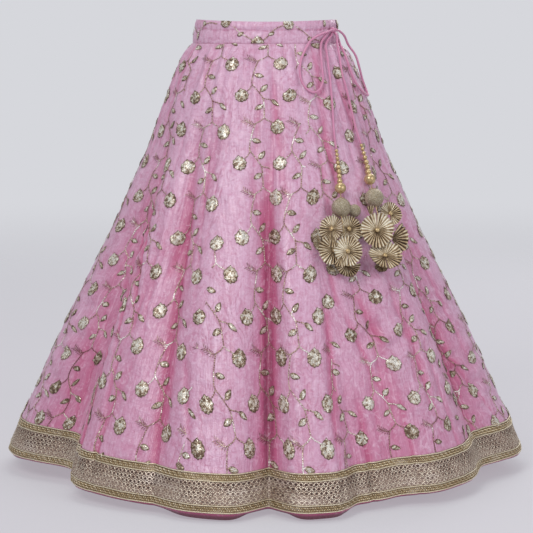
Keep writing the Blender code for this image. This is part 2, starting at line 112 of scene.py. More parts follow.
BAND_ROWS = (
    # drop, bulge
    (0.0000, 0.0000),
    (0.0100, 0.0022),
    (CHANNEL_HEIGHT, 0.0004),
    (0.0350, 0.0016),
    (BAND_HEIGHT, 0.0000),
)
BAND_TOP_HALF_WIDTH = 0.1530
BAND_FOOT_HALF_WIDTH = 0.1625

# Turn, depth below the waist plane, and height of the cord's middle off the cloth.
KNOT_PLACE = (62.0, 0.0220, 0.0075)
CORD_ROUTES = {
    "loop_left": (
        (59.3, 0.0222, 0.0105), (52.0, 0.0260, 0.0098), (41.1, 0.0350, 0.0090),
        (34.5, 0.0460, 0.0080), (29.5, 0.0610, 0.0068), (22.6, 0.0900, 0.0055),
        (20.6, 0.1140, 0.0055), (20.8, 0.1320, 0.0055), (23.1, 0.1490, 0.0055),
        (27.4, 0.1570, 0.0055), (31.4, 0.1510, 0.0055), (34.9, 0.1330, 0.0055),
        (36.8, 0.1050, 0.0055), (38.6, 0.0800, 0.0055), (41.5, 0.0630, 0.0055),
        (46.0, 0.0480, 0.0060), (51.5, 0.0340, 0.0060), (56.2, 0.0262, 0.0052),
        (59.4, 0.0240, 0.0045),
    ),
    "loop_right": (
        (64.7, 0.0212, 0.0105), (70.0, 0.0245, 0.0120), (78.0, 0.0360, 0.0145),
        (85.0, 0.0570, 0.0145), (90.0, 0.0840, 0.0125), (93.0, 0.1120, 0.0095),
        (94.0, 0.1360, 0.0065), (91.5, 0.1570, 0.0055), (84.5, 0.1680, 0.0055),
        (76.5, 0.1660, 0.0055), (69.5, 0.1550, 0.0055), (65.5, 0.1380, 0.0055),
        (64.0, 0.1150, 0.0055), (65.0, 0.0880, 0.0055), (66.6, 0.0700, 0.0064),
        (67.9, 0.0560, 0.0086), (68.0, 0.0430, 0.0086), (66.7, 0.0335, 0.0068),
        (64.3, 0.0258, 0.0045),
    ),
    "tail_left": (
        (61.5, 0.0287, 0.0045), (58.7, 0.0350, 0.0050), (53.2, 0.0445, 0.0058),
        (47.8, 0.0590, 0.0058), (44.8, 0.0760, 0.0055), (42.5, 0.0990, 0.0055),
        (40.8, 0.1250, 0.0055), (38.6, 0.1650, 0.0055), (36.6, 0.2050, 0.0055),
        (35.0, 0.2430, 0.0055), (34.4, 0.2761, 0.0055),
    ),
    "tail_right": (
        (62.9, 0.0282, 0.0105), (63.5, 0.0370, 0.0112), (62.9, 0.0480, 0.0118),
        (60.6, 0.0620, 0.0086), (57.2, 0.0790, 0.0062), (54.3, 0.1000, 0.0055),
        (52.6, 0.1220, 0.0055), (52.0, 0.1590, 0.0055), (51.0, 0.1970, 0.0055),
        (50.6, 0.2350, 0.0055), (51.1, 0.2676, 0.0055),
    ),
}
STRING_ROUTES = {
    "left": (
        (34.4, 0.2765, 0.0056), (34.0, 0.2920, 0.0058), (33.5, 0.3060, 0.0066),
        (33.0, 0.3160, 0.0075), (32.5, 0.3280, 0.0090), (31.7, 0.3390, 0.0115),
        (30.6, 0.3580, 0.0175), (29.3, 0.3770, 0.0232), (28.0, 0.4010, 0.0290),
        (27.2, 0.4230, 0.0305), (27.3, 0.4450, 0.0285), (26.9, 0.4670, 0.0275),
        (25.9, 0.4880, 0.0275), (25.1, 0.5110, 0.0275),
    ),
    "right": (
        (51.1, 0.2680, 0.0056), (51.1, 0.2800, 0.0058), (50.7, 0.2960, 0.0066),
        (50.1, 0.3070, 0.0076), (49.4, 0.3170, 0.0090), (48.2, 0.3290, 0.0112),
        (46.2, 0.3480, 0.0160), (44.9, 0.3670, 0.0205), (44.0, 0.3850, 0.0240),
        (43.0, 0.4030, 0.0270), (42.4, 0.4250, 0.0290), (42.1, 0.4450, 0.0288),
        (41.8, 0.4620, 0.0265), (41.6, 0.4780, 0.0240),
    ),
}
BEAD_STRINGS = {
    # side: (beads, first_diameter, growth, large_diameter, ball_diameter, ball_at)
    "left": (8, 0.0078, 0.00062, 0.0243, 0.0410, 0.4010),
    "right": (7, 0.0076, 0.00098, 0.0250, 0.0405, 0.3850),
}
SPARE_BALL = (34.4, 0.4080, 0.0165, 0.0276)
FANS = {
    # turn, down, lift, radius, spread, aim, face_turn, face_tip
    "left": (
        (22.0, 0.449, 0.0385, 0.0279, 357.0, 90.0, -38.0, 10.0),
        (30.2, 0.446, 0.0215, 0.0277, 357.0, 90.0, 20.0, 14.0),
        (25.6, 0.497, 0.0470, 0.0301, 357.0, 90.0, 18.0, 12.0),
        (22.0, 0.489, 0.0340, 0.0316, 190.0, 215.0, 0.0, 8.0),
        (20.5, 0.465, 0.0580, 0.0265, 46.0, 277.0, -4.0, 4.0),
        (22.5, 0.508, 0.0580, 0.0231, 64.0, 256.0, 4.0, 16.0),
        (26.8, 0.516, 0.0200, 0.0263, 184.0, 272.0, 12.0, 32.0),
        (19.3, 0.467, 0.0110, 0.0171, 150.0, 178.0, 14.0, 14.0),
        (36.1, 0.438, 0.0090, 0.0118, 200.0, 275.0, 26.0, 20.0),
        (22.1, 0.513, 0.0095, 0.0133, 120.0, 245.0, 18.0, 22.0),
    ),
    "right": (
        (38.5, 0.430, 0.0330, 0.0261, 38.0, 94.0, 4.0, 10.0),
        (50.8, 0.421, 0.0220, 0.0248, 300.0, 55.0, 26.0, 18.0),
        (38.2, 0.457, 0.0430, 0.0347, 357.0, 270.0, 10.0, 10.0),
        (45.3, 0.473, 0.0290, 0.0364, 118.0, -2.0, 16.0, 12.0),
        (39.1, 0.507, 0.0372, 0.0342, 357.0, 90.0, 14.0, 44.0),
        (39.9, 0.519, 0.0120, 0.0148, 170.0, 265.0, 20.0, 20.0),
    ),
}

# ---- sizes of the looks only ----

PANEL_COLUMNS = 76
PANEL_ROWS = 144
ROW_CROWDING = 1.12          # power that sets the rows closer near the band
GATHERS = (
    # waves round the waist, height, fall by which it has faded, phase, drift down the skirt
    (19, 0.0012, 0.34, 1.3, -2.0),
    (27, 0.0012, 0.26, 0.4, 2.0),
    (38, 0.0011, 0.20, 2.1, -3.0),
    (47, 0.0011, 0.15, 5.0, 2.0),
    (61, 0.0008, 0.12, 1.0, -2.0),
    (83, 0.0004, 0.08, 4.0, 3.0),
)
CREASES = (
    # start turn, end turn, start fall, end fall, depth, half width
    (1.0, 0.6, 0.14, 1.25, 0.0120, 0.0130),
    (-34.5, -23.5, 0.22, 1.10, 0.0085, 0.0100),
    (-31.0, -20.0, 0.10, 0.66, 0.0030, 0.0050),
    (-58.5, -55.0, 0.36, 0.60, 0.0070, 0.0100),
    (-54.0, -48.5, 0.50, 1.05, 0.0090, 0.0110),
    (-63.0, -44.0, 0.10, 0.70, 0.0040, 0.0190),
    (-45.0, -41.0, 0.62, 1.05, 0.0040, 0.0070),
    (-13.0, -12.0, 0.02, 0.22, 0.0012, 0.0040),
    (-20.5, -18.0, 0.03, 0.30, 0.0014, 0.0040),
    (4.5, 6.5, 0.05, 0.26, 0.0016, 0.0045),
    (12.0, 15.0, 0.14, 0.46, 0.0015, 0.0050),
    (21.0, 22.5, 0.40, 0.62, 0.0050, 0.0070),
    (27.0, 23.0, 0.22, 0.46, 0.0024, 0.0060),
    (22.0, 35.0, 0.54, 0.84, 0.0040, 0.0070),
    (24.0, 25.5, 0.74, 1.08, 0.0060, 0.0080),
    (36.0, 37.5, 0.72, 1.08, 0.0045, 0.0070),
    (15.5, 16.5, 0.66, 1.08, 0.0030, 0.0060),
    (59.5, 66.5, 0.48, 0.98, 0.0090, 0.0120),
    (71.0, 75.0, 0.30, 0.85, 0.0035, 0.0080),
    (49.0, 52.0, 0.60, 1.05, 0.0030, 0.0070),
    (-56.0, -41.0, 0.34, 0.66, 0.0062, 0.0075),
    (-64.0, -47.0, 0.40, 0.64, 0.0046, 0.0080),
    (-52.0, -45.0, 0.50, 0.74, 0.0050, 0.0060),
    (-59.0, -50.0, 0.60, 0.90, 0.0045, 0.0080),
    (-32.0, -36.0, 0.34, 0.56, 0.0050, 0.0060),
)
SPARE_CREASES = 150          # more, laid at random all round
CRUMPLES = (
    # turn, fall, spread of each, height: where the silk is crushed
    (-57.0, 0.52, 12.0, 0.20, 0.0040),
    (-74.0, 0.72, 10.0, 0.18, 0.0028),
    (-16.0, 0.34, 9.0, 0.12, 0.0011),
    (14.0, 0.50, 7.0, 0.12, 0.0016),
    (36.0, 0.66, 11.0, 0.20, 0.0026),
    (57.0, 0.42, 10.0, 0.18, 0.0022),
    (68.0, 0.76, 12.0, 0.18, 0.0030),
    (140.0, 0.55, 26.0, 0.25, 0.0020),
    (214.0, 0.60, 26.0, 0.25, 0.0020),
)
CREASE_TOP_RADIUS = 0.17     # the skirt's at its top, to measure across a crease
CREASE_FLARE = 0.40          # how much more it is at the hem
CRINKLES = 26                # plane waves that make the cloth uneven
CRINKLE = 0.00016            # height of each
CRINKLE_LENGTHS = (0.022, 0.075)
CRINKLE_LEAN = 1.3           # most that one slants, in radians
CRUSHES = 5                  # waves under each crumple
CRUSH_LENGTHS = (0.055, 0.125)
CRUSH_LEAN = 1.25
MEAN_CRUSH = 0.64            # the mean size of a wave, so that a crumple swells nothing
MIDDLE_RADIUS = 0.38         # the skirt's about half way down, for the length of a wave
CLOTH_LENGTH = 0.98          # down the cloth from the band to the hem, for the same
HEM_RADIUS = 0.56            # the hem's mean one, to count what goes round it
FALL_LENGTH = 0.985          # metres down the cloth for a whole fall, near the hem
RIM_CLEAR = 0.0009           # height of the embroidery's base off the cloth
SILK_PANELS = [f"silk_panel_{number:02d}" for number in range(1, PANELS + 1)]


# ---- form of the cloth ----

def smooth(at, stations, values):
    """Cubic curve through the values at the stations, with the slopes of its neighbours."""
    stations = np.asarray(stations, dtype=float)
    values = np.asarray(values, dtype=float)
    slopes = np.gradient(values, stations)
    at = np.clip(at, stations[0], stations[-1])
    left = np.clip(np.searchsorted(stations, at, side="right") - 1, 0, len(stations) - 2)
    width = stations[left + 1] - stations[left]
    u = (at - stations[left]) / width
    return (values[left] * (1 + 2 * u) * (1 - u) ** 2
            + slopes[left] * width * u * (1 - u) ** 2
            + values[left + 1] * u * u * (3 - 2 * u)
            + slopes[left + 1] * width * u * u * (u - 1))


def step_up(value, low, high):
    """0 below low and 1 above high, with a soft cubic between."""
    u = np.clip((value - low) / (high - low), 0.0, 1.0)
    return u * u * (3 - 2 * u)


def round_angles(count):
    """Evenly spaced angles once round, in radians, from 0."""
    return np.arange(count) * 2 * math.pi / count


def turns_past(turn, middle):
    """Degrees that a turn is past a middle one, the short way round."""
    return np.mod(turn - middle + 180.0, 360.0) - 180.0


def fold_depth(turn, fall):
    """How far the folds draw the cloth in: cosine waves between the rows of FOLDS."""
    turn = np.mod(turn + 90.0, 360.0) - 90.0
    depth = np.zeros(np.broadcast(turn, fall).shape)
    rows = []
    for top_turn, hem_turn, mid_depth, hem_depth in FOLDS:
        place = top_turn + (hem_turn - top_turn) * fall
        reach = smooth(fall, FOLD_FALLS, (0.0, 0.0, mid_depth, hem_depth))
        rows.append((place, np.maximum(reach, 0.0)))
    for (start, start_depth), (end, end_depth) in zip(rows, rows[1:]):
        along = np.clip((turn - start) / (end - start), 0.0, 1.0)
        from_ridge = np.where(end_depth > start_depth, along, 1.0 - along)
        wave = (0.5 - 0.5 * np.cos(math.pi * from_ridge)) ** VALLEY_POWER
        shallow = np.minimum(start_depth, end_depth)
        value = shallow + np.abs(end_depth - start_depth) * wave
        depth = np.where((turn >= start) & (turn <= end), value, depth)
    return depth


def crease_rows():
    """The named creases, and spare ones at random turns with a random lean and reach.

    Two in five of the spare ones gather about the folds' valleys, and are deeper there.
    """
    draw = np.random.default_rng(7)
    start = draw.uniform(-90.0, 270.0, SPARE_CREASES)
    valleys = np.array([row[1] for row in FOLDS if row[3] > 0.025])
    near = valleys[draw.integers(0, len(valleys), SPARE_CREASES)]
    gathered = draw.uniform(0.0, 1.0, SPARE_CREASES) < 0.4
    start = np.where(gathered, near + draw.normal(0.0, 3.5, SPARE_CREASES), start)
    top = draw.uniform(-0.10, 0.72, SPARE_CREASES)
    reach = draw.uniform(0.16, 0.46, SPARE_CREASES)
    lean = draw.normal(0.0, 2.0, SPARE_CREASES) * draw.choice([1.0, 4.0], SPARE_CREASES,
                                                              p=[0.75, 0.25])
    width = draw.uniform(0.0026, 0.0110, SPARE_CREASES)
    depth = width * draw.uniform(0.16, 0.42, SPARE_CREASES) * (1.0 + 0.4 * gathered)
    spare = np.stack([start, start + lean, top, top + reach, depth, width], axis=-1)
    return np.concatenate([np.array(CREASES), spare])


CREASE_ROWS = crease_rows()


def crease_depth(turn, fall):
    """How deep the creases are: a bell across each one's line, faded at both its ends."""
    radius = CREASE_TOP_RADIUS + CREASE_FLARE * fall
    total = np.zeros(turn.shape)
    for start, end, top, foot, depth, width in CREASE_ROWS:
        along = (fall - top) / (foot - top)
        middle = start + (end - start) * along
        aside = np.radians(turns_past(turn, middle)) * radius
        near = (np.abs(aside) < 3 * width) & (along > 0.0) & (along < 1.0)
        share = along[near]
        ends = step_up(share, 0.0, 0.35) * step_up(1.0 - share, 0.0, 0.35)
        total[near] += depth * np.exp(-(aside[near] / width) ** 2) * ends
    return total


def relief(turn, fall):
    """Small outward relief: gathers under the band, less the creases, and crinkle.

    Gathers are cosines round the waist that fade down the skirt. Crinkle is a sum of
    slanted plane waves. Crushed cloth adds the size of such waves without their sign, so
    they meet in sharp creases, under a bell about each crushed place.
    """
    turn, fall = np.broadcast_arrays(np.asarray(turn, float), np.asarray(fall, float))
    angle = np.radians(turn)
    height = np.zeros(turn.shape)
    for waves, size, reach, phase, drift in GATHERS:
        fade = np.exp(-(fall / reach) ** 2)
        height += size * fade * np.cos(waves * angle + phase + drift * fall)
    height -= crease_depth(turn, fall)
    height *= step_up(fall, 0.0, 0.018)
    draw = np.random.default_rng(3)
    for _ in range(CRINKLES):
        length = draw.uniform(*CRINKLE_LENGTHS)
        lean = draw.uniform(-CRINKLE_LEAN, CRINKLE_LEAN)
        rounds = round(2 * math.pi * MIDDLE_RADIUS / length * math.sin(lean))
        wave = rounds * angle + 2 * math.pi * fall * CLOTH_LENGTH / length * math.cos(lean)
        height += CRINKLE * np.cos(wave + draw.uniform(0, 2 * math.pi))
    for middle, at_fall, wide, tall, size in CRUMPLES:
        aside = turns_past(turn, middle) / wide
        bell = size * np.exp(-aside ** 2 - ((fall - at_fall) / tall) ** 2)
        for _ in range(CRUSHES):
            length = draw.uniform(*CRUSH_LENGTHS)
            lean = draw.uniform(-CRUSH_LEAN, CRUSH_LEAN)
            around = np.radians(aside * wide) * MIDDLE_RADIUS / length * math.sin(lean)
            down = (fall - at_fall) * CLOTH_LENGTH / length * math.cos(lean)
            bend = 0.35 * np.sin(5.0 * (down - around) + lean)
            wave = np.abs(np.cos(2 * math.pi * (around + down) + bend))
            height += bell * (wave - MEAN_CRUSH)
    return height


def hem_level(turn):
    """Level of the hem, which rises from the front and back towards the sides."""
    return HEM_LEVEL + HEM_RISE * np.sin(np.radians(turn)) ** 2


def oval(half_width, turn):
    """X and Y of places round an oval, less deep than it is wide."""
    angle = np.radians(turn)
    return half_width * np.sin(angle), -(half_width - DEPTH_LESS) * np.cos(angle)


def skirt_points(turn, fall, small=True):
    """Points on the outside of the skirt: an oval cone, drawn in along its folds."""
    turn, fall = np.broadcast_arrays(np.asarray(turn, float), np.asarray(fall, float))
    level = TOP_LEVEL + (hem_level(turn) - TOP_LEVEL) * fall
    stations = [-row[0] for row in SECTIONS]
    x, y = oval(smooth(-level, stations, [row[1] for row in SECTIONS]), turn)
    depth = fold_depth(turn, fall)
    if small:
        depth = depth - relief(turn, fall)
    inward = 1.0 - depth / np.hypot(x, y)
    return np.stack([x * inward, y * inward, level], axis=-1)


def band_points(turn, drop):
    """Points on the outside of the waistband: an oval, wider at its foot, with a bulge."""
    turn, drop = np.broadcast_arrays(np.asarray(turn, float), np.asarray(drop, float))
    bulge = smooth(drop, [row[0] for row in BAND_ROWS], [row[1] for row in BAND_ROWS])
    widen = (BAND_FOOT_HALF_WIDTH - BAND_TOP_HALF_WIDTH) * drop / BAND_HEIGHT
    x, y = oval(BAND_TOP_HALF_WIDTH + widen + bulge, turn)
    dip = BAND_DIP * np.cos(np.radians(turn)) ** 2 * (1.0 - drop / BAND_HEIGHT)
    return np.stack([x, y, -drop - dip], axis=-1)


def unit(vectors):
    """The same directions with a length of one."""
    return vectors / np.linalg.norm(vectors, axis=-1, keepdims=True)


def normals(points_at, turn, along, step_turn=0.2, step=0.002):
    """Outward unit normals of a surface, from a short step each way, round and down."""
    across = points_at(turn + step_turn, along) - points_at(turn - step_turn, along)
    down = points_at(turn, along + step) - points_at(turn, along - step)
    return unit(np.cross(down, across))


def garment_points(turn, down):
    """Points on the outside of the whole garment, by depth below the waist plane."""
    turn, down = np.broadcast_arrays(np.asarray(turn, float), np.asarray(down, float))
    fall = np.clip((-down - TOP_LEVEL) / (hem_level(turn) - TOP_LEVEL), 0.0, 1.0)
    on_band = (down < BAND_HEIGHT)[..., None]
    drop = np.clip(down, 0.0, BAND_HEIGHT)
    return np.where(on_band, band_points(turn, drop), skirt_points(turn, fall, small=False))


def outward(turn, down):
    """Unit directions away from the garment: level at the band, tipped up on the skirt."""
    share = np.clip((np.asarray(down) - SLOPE_FROM) / SLOPE_WITHIN, 0.0, 1.0)
    tip = np.radians(SKIRT_SLOPE) * share
    angle = np.radians(turn)
    return np.stack([np.sin(angle) * np.cos(tip), -np.cos(angle) * np.cos(tip),
                     np.sin(tip) + 0.0 * angle], axis=-1)


def clear_of_cloth(places):
    """Points from rows of turn, depth below the waist and height off the cloth."""
    turn, down, lift = np.asarray(places, dtype=float).T
    return garment_points(turn, down) + outward(turn, down) * lift[:, None]


def border_falls():
    """Falls of the border's edges: top, under the upper braid, over the lower, foot."""
    slope = 1.0 / ((TOP_LEVEL - HEM_LEVEL) * BORDER_SLANT)
    foot = 1.0 - BORDER_CLEAR * slope
    return (foot - BORDER_HEIGHT * slope,
            foot - (BORDER_HEIGHT - BRAID_HEIGHT) * slope,
            foot - BRAID_HEIGHT * slope,
            foot)


def run_of(points):
    """Distance along a line of points, from its first point."""
    return np.r_[0.0, np.cumsum(np.linalg.norm(np.diff(points, axis=0), axis=1))]


def smooth_route(points, step):
    """Evenly spaced points on a smooth curve through a route's own points."""
    points = np.asarray(points, dtype=float)
    chord = run_of(points)
    fine = np.linspace(0.0, chord[-1], 40 * len(points))
    curve = np.stack([smooth(fine, chord, points[:, i]) for i in range(3)], axis=-1)
    run = run_of(curve)
    even = np.linspace(0.0, run[-1], max(4, round(run[-1] / step) + 1))
    return np.stack([np.interp(even, run, curve[:, i]) for i in range(3)], axis=-1)


def along(points, distance, reach):
    """Middle and direction of a piece that spans a distance along a route, both ways."""
    run = run_of(points)
    ends = [np.array([np.interp(at, run, points[:, i]) for i in range(3)])
            for at in (distance - reach, distance + reach)]
    return (ends[0] + ends[1]) / 2.0, unit(ends[1] - ends[0])


# ---- meshes from whole arrays ----

def grid_faces(rows, columns, round_rows=False, round_columns=False):
    """Corners of a grid's quads. Down and then across, so that they face down x across."""
    row = np.arange(rows if round_rows else rows - 1)[:, None]
    column = np.arange(columns if round_columns else columns - 1)[None, :]
    below = (row + 1) % rows
    beside = (column + 1) % columns
    quads = [row * columns + column, below * columns + column,
             below * columns + beside, row * columns + beside]
    return np.stack(quads, axis=-1).reshape(-1, 4)


def dome_faces(spokes, rings):
    """Quads over a middle point and rings of points round it, the middle's two spokes wide."""
    first = np.arange(0, spokes, 2)
    faces = [np.stack([0 * first, first + 1, first + 2, (first + 2) % spokes + 1], axis=-1)]
    ring = np.arange(spokes)
    beside = (ring + 1) % spokes
    for inner in range(1, 1 + spokes * (rings - 1), spokes):
        outer = inner + spokes
        faces.append(np.stack([inner + ring, outer + ring, outer + beside, inner + beside],
                              axis=-1))
    return np.concatenate(faces)


def copies(faces, size, count):
    """The same faces again for each of count copies of a shape that has size points."""
    return (faces[None] + size * np.arange(count)[:, None, None]).reshape(-1, faces.shape[1])


def joined(shapes):
    """One shape from several, each (points, faces, uv)."""
    points, faces, uv, start = [], [], [], 0
    for shape_points, shape_faces, shape_uv in shapes:
        flat = shape_points.reshape(-1, 3)
        points.append(flat)
        faces.append(shape_faces + start)
        uv.append(shape_uv.reshape(-1, 2))
        start += len(flat)
    return np.concatenate(points), np.concatenate(faces), np.concatenate(uv)


def mark_rim(mesh, faces):
    """Mark the edges that only one face has as sharp, so that a wall's rim is crisp."""
    ends = np.stack([faces, np.roll(faces, -1, axis=1)], axis=-1).reshape(-1, 2)
    keys = np.sort(ends, axis=1) @ (len(mesh.vertices), 1)
    found, count = np.unique(keys, return_counts=True)
    edges = np.zeros(2 * len(mesh.edges), dtype=np.int32)
    mesh.edges.foreach_get("vertices", edges)
    keys = np.sort(edges.reshape(-1, 2), axis=1) @ (len(mesh.vertices), 1)
    mesh.edges.foreach_set("use_edge_sharp", np.isin(keys, found[count == 1]))


def put(name, points, faces, finishes, uv=None, layers=None, part=None, crisp_rim=False):
    """A mesh object from arrays: quads, a UV for each point, and float layers on points."""
    mesh = bpy.data.meshes.new(name)
    points = np.asarray(points, dtype=np.float32).reshape(-1, 3)
    faces = np.asarray(faces, dtype=np.int32)
    mesh.vertices.add(len(points))
    mesh.vertices.foreach_set("co", points.ravel())
    mesh.loops.add(faces.size)
    mesh.loops.foreach_set("vertex_index", faces.ravel())
    mesh.polygons.add(len(faces))
    mesh.polygons.foreach_set("loop_start", np.arange(0, faces.size, faces.shape[1]))
    mesh.polygons.foreach_set("use_smooth", np.ones(len(faces), dtype=bool))
    if part is not None:
        mesh.polygons.foreach_set("material_index", np.asarray(part, dtype=np.int32))
    mesh.update(calc_edges=True)
    if crisp_rim:
        mark_rim(mesh, faces)
    if uv is not None:
        layer = mesh.uv_layers.new(name="pattern")
        corners = np.asarray(uv, dtype=np.float32).reshape(-1, 2)[faces.ravel()]
        layer.data.foreach_set("uv", corners.ravel())
    for layer_name, values in (layers or {}).items():
        layer = mesh.attributes.new(layer_name, "FLOAT", "POINT")
        layer.data.foreach_set("value", np.asarray(values, dtype=np.float32).ravel())
    for finish in finishes:
        mesh.materials.append(finish)
    obj = bpy.data.objects.new(name, mesh)
    bpy.context.scene.collection.objects.link(obj)
    return obj


def settle(obj, slot, *nodes):
    """A finished piece: it rides on the skirt and stands for CAD nodes; its slot is not used."""
    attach(obj, "root")
    if nodes:
        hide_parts(*nodes)
    return obj


def swept(path, reference, profile, closed=False):
    """Points of a profile carried along a path: rows along it, columns round it.

    Profile holds (aside, out) for each column, or for each row and column. Out is the
    reference direction made square to the path, and aside is out x path.
    """
    if closed:
        ahead = np.roll(path, -1, axis=0) - np.roll(path, 1, axis=0)
    else:
        ahead = np.gradient(path, axis=0)
    ahead = unit(ahead)
    out = unit(reference - ahead * np.sum(reference * ahead, axis=-1, keepdims=True))
    aside = np.cross(out, ahead)
    profile = np.broadcast_to(profile, (len(path),) + np.shape(profile)[-2:])
    return (path[:, None] + aside[:, None] * profile[..., :1] + out[:, None] * profile[..., 1:])


def round_profile(radius, sides):
    """A circle of points as (aside, out), starting at out and turning towards aside."""
    angle = round_angles(sides)
    return np.stack([radius * np.sin(angle), radius * np.cos(angle)], axis=-1)


def tube(path, reference, radius, sides, closed=False):
    """A round tube along a path, with domed ends: radius may differ from row to row."""
    radius = np.broadcast_to(np.asarray(radius, float), len(path)).copy()
    if not closed:
        nose = np.array([0.0, 0.55, 0.88])
        jut = (1 - nose[:, None]) * 0.5
        start = path[0] - unit(path[1] - path[0]) * radius[0] * jut
        end = path[-1] + unit(path[-1] - path[-2]) * radius[-1] * jut[::-1]
        path = np.concatenate([start, path, end])
        reference = np.concatenate([reference[:1].repeat(3, 0), reference,
                                    reference[-1:].repeat(3, 0)])
        radius = np.concatenate([np.maximum(nose, 0.02) * radius[0], radius,
                                 np.maximum(nose[::-1], 0.02) * radius[-1]])
    rounds = round_profile(1.0, sides)[None] * radius[:, None, None]
    points = swept(path, reference, rounds, closed)
    rows, columns = points.shape[:2]
    run = run_of(path)
    uv = np.stack(np.broadcast_arrays(run[:, None], np.arange(columns) / columns), axis=-1)
    return points, grid_faces(rows, columns, closed, True), uv


OFF_AXIS = (0.31, 0.12, 0.94)    # a direction that no turned piece points in


def spokes_about(direction, angle):
    """Unit directions square to a direction, at angles round it."""
    sideways = unit(np.cross(direction, OFF_AXIS))
    other = np.cross(sideways, direction)
    return np.cos(angle)[:, None] * sideways + np.sin(angle)[:, None] * other


def turned(profile, place, direction, sides, closed=False):
    """A turned piece: (radius, distance along direction) carried round the direction."""
    profile = np.asarray(profile, float)
    direction = unit(np.asarray(direction, float))
    angle = round_angles(sides)
    spokes = spokes_about(direction, angle)
    points = place + direction * profile[:, 1, None, None] + spokes * profile[:, 0, None, None]
    uv = np.stack(np.broadcast_arrays(angle / 2 / math.pi, profile[:, 1, None]), axis=-1)
    return points, grid_faces(len(profile), sides, closed, True), uv


# ---- finishes ----

def linear(red, green, blue):
    """A colour as the shader takes it, from its parts on a display from 0 to 255."""
    parts = np.array([red, green, blue]) / 255.0
    light = np.where(parts <= 0.04045, parts / 12.92, ((parts + 0.055) / 1.055) ** 2.4)
    return (*light, 1.0)


class Value:
    """A number in a shader. Arithmetic on it adds the Math nodes that work it out."""

    def __init__(self, finish, socket):
        self.finish = finish
        self.socket = socket

    def calculate(self, operation, *others):
        """The result of one Math node on some numbers."""
        return self.finish.add("ShaderNodeMath", {"operation": operation},
                               dict(enumerate(others)))

    def __add__(self, other):
        return self.calculate("ADD", self, other)

    def __radd__(self, other):
        return self.calculate("ADD", other, self)

    def __sub__(self, other):
        return self.calculate("SUBTRACT", self, other)

    def __rsub__(self, other):
        return self.calculate("SUBTRACT", other, self)

    def __mul__(self, other):
        return self.calculate("MULTIPLY", self, other)

    def above(self, low, high):
        """0 below low and 1 above high, with a soft step between."""
        return self.finish.add(
            "ShaderNodeMapRange", {"interpolation_type": "SMOOTHSTEP", "clamp": True},
            {"Value": self, "From Min": low, "From Max": high, "To Min": 0.0, "To Max": 1.0})

    def line(self, sharpness):
        """1 where the value is a half, and 0 a little way to either side."""
        return (1 - (self - 0.5) * (self - 0.5) * sharpness).above(0.0, 1.0)


class Finish:
    """A material: constants on its shader, and the nodes that vary over the surface."""

    def __init__(self, name, **constants):
        self.material = bpy.data.materials.new(name)
        self.material.use_nodes = True
        self.tree = self.material.node_tree
        self.shader = self.tree.nodes["Principled BSDF"]
        for socket, value in constants.items():
            self.shader.inputs[socket.replace("_", " ")].default_value = value

    def add(self, kind, settings=None, sockets=None, out=0):
        """Add a node: its settings first, then the values or links of its sockets."""
        node = self.tree.nodes.new(kind)
        for name, value in (settings or {}).items():
            if name == "stops":
                ramp = node.color_ramp
                for _ in range(len(value) - 2):
                    ramp.elements.new(0.5)
                for element, (position, color) in zip(ramp.elements, value):
                    element.position = position
                    element.color = color
            else:
                setattr(node, name, value)
        for name, value in (sockets or {}).items():
            if isinstance(value, Value):
                self.tree.links.new(value.socket, node.inputs[name])
            else:
                node.inputs[name].default_value = value
        return Value(self, node.outputs[out])

    def feed(self, **links):
        """Link values to the shader's own sockets."""
        for socket, value in links.items():
            self.tree.links.new(value.socket, self.shader.inputs[socket.replace("_", " ")])
        return self

    def uv(self, across=1.0, down=1.0, turn=0.0):
        """The piece's own pattern coordinates, stretched by across and down."""
        place = self.add("ShaderNodeUVMap", {"uv_map": "pattern"})
        return self.add("ShaderNodeMapping", {},
                        {"Vector": place, "Scale": (across, down, 1.0),
                         "Rotation": (0.0, 0.0, turn)})

    def where(self, scale=1.0):
        """Object coordinates, stretched by scale."""
        place = self.add("ShaderNodeTexCoord", out=3)
        return self.add("ShaderNodeMapping", {}, {"Vector": place, "Scale": (scale,) * 3})

    def layer(self, name):
        """A float layer that the mesh carries."""
        return self.add("ShaderNodeAttribute", {"attribute_name": name}, out=2)

    def noise(self, place, detail=2.0, roughness=0.5, distortion=0.0):
        """Soft clouds from 0 to 1, about one to each unit of place."""
        return self.add("ShaderNodeTexNoise", {},
                        {"Vector": place, "Scale": 1.0, "Detail": detail,
                         "Roughness": roughness, "Distortion": distortion})

    def cells(self, place, scale=1.0, feature="F1", out=0):
        """Grains: how far a point is into one or, by out, a colour for each."""
        return self.add("ShaderNodeTexVoronoi", {"feature": feature},
                        {"Vector": place, "Scale": scale}, out)

    def bands(self, place, distortion):
        """Waves across the place's first direction."""
        return self.add("ShaderNodeTexWave", {},
                        {"Vector": place, "Scale": 1.0, "Distortion": distortion})

    def channel(self, color, number):
        """One of a colour's three parts."""
        return self.add("ShaderNodeSeparateColor", {}, {"Color": color}, number)

    def mix(self, share, first, second):
        """A colour between two, by a share."""
        return self.add("ShaderNodeMix", {"data_type": "RGBA"},
                        {0: share, 6: first, 7: second}, 2)

    def ramp(self, value, *stops):
        """A colour for a value, from stops of (value, colour)."""
        return self.add("ShaderNodeValToRGB", {"stops": stops}, {"Fac": value})

    def bump(self, height, distance, strength, under=None):
        """Normals that a height in the material gives, over another bump if one is named."""
        sockets = {"Height": height, "Distance": distance, "Strength": strength}
        if under is not None:
            sockets["Normal"] = under
        return self.add("ShaderNodeBump", {}, sockets)


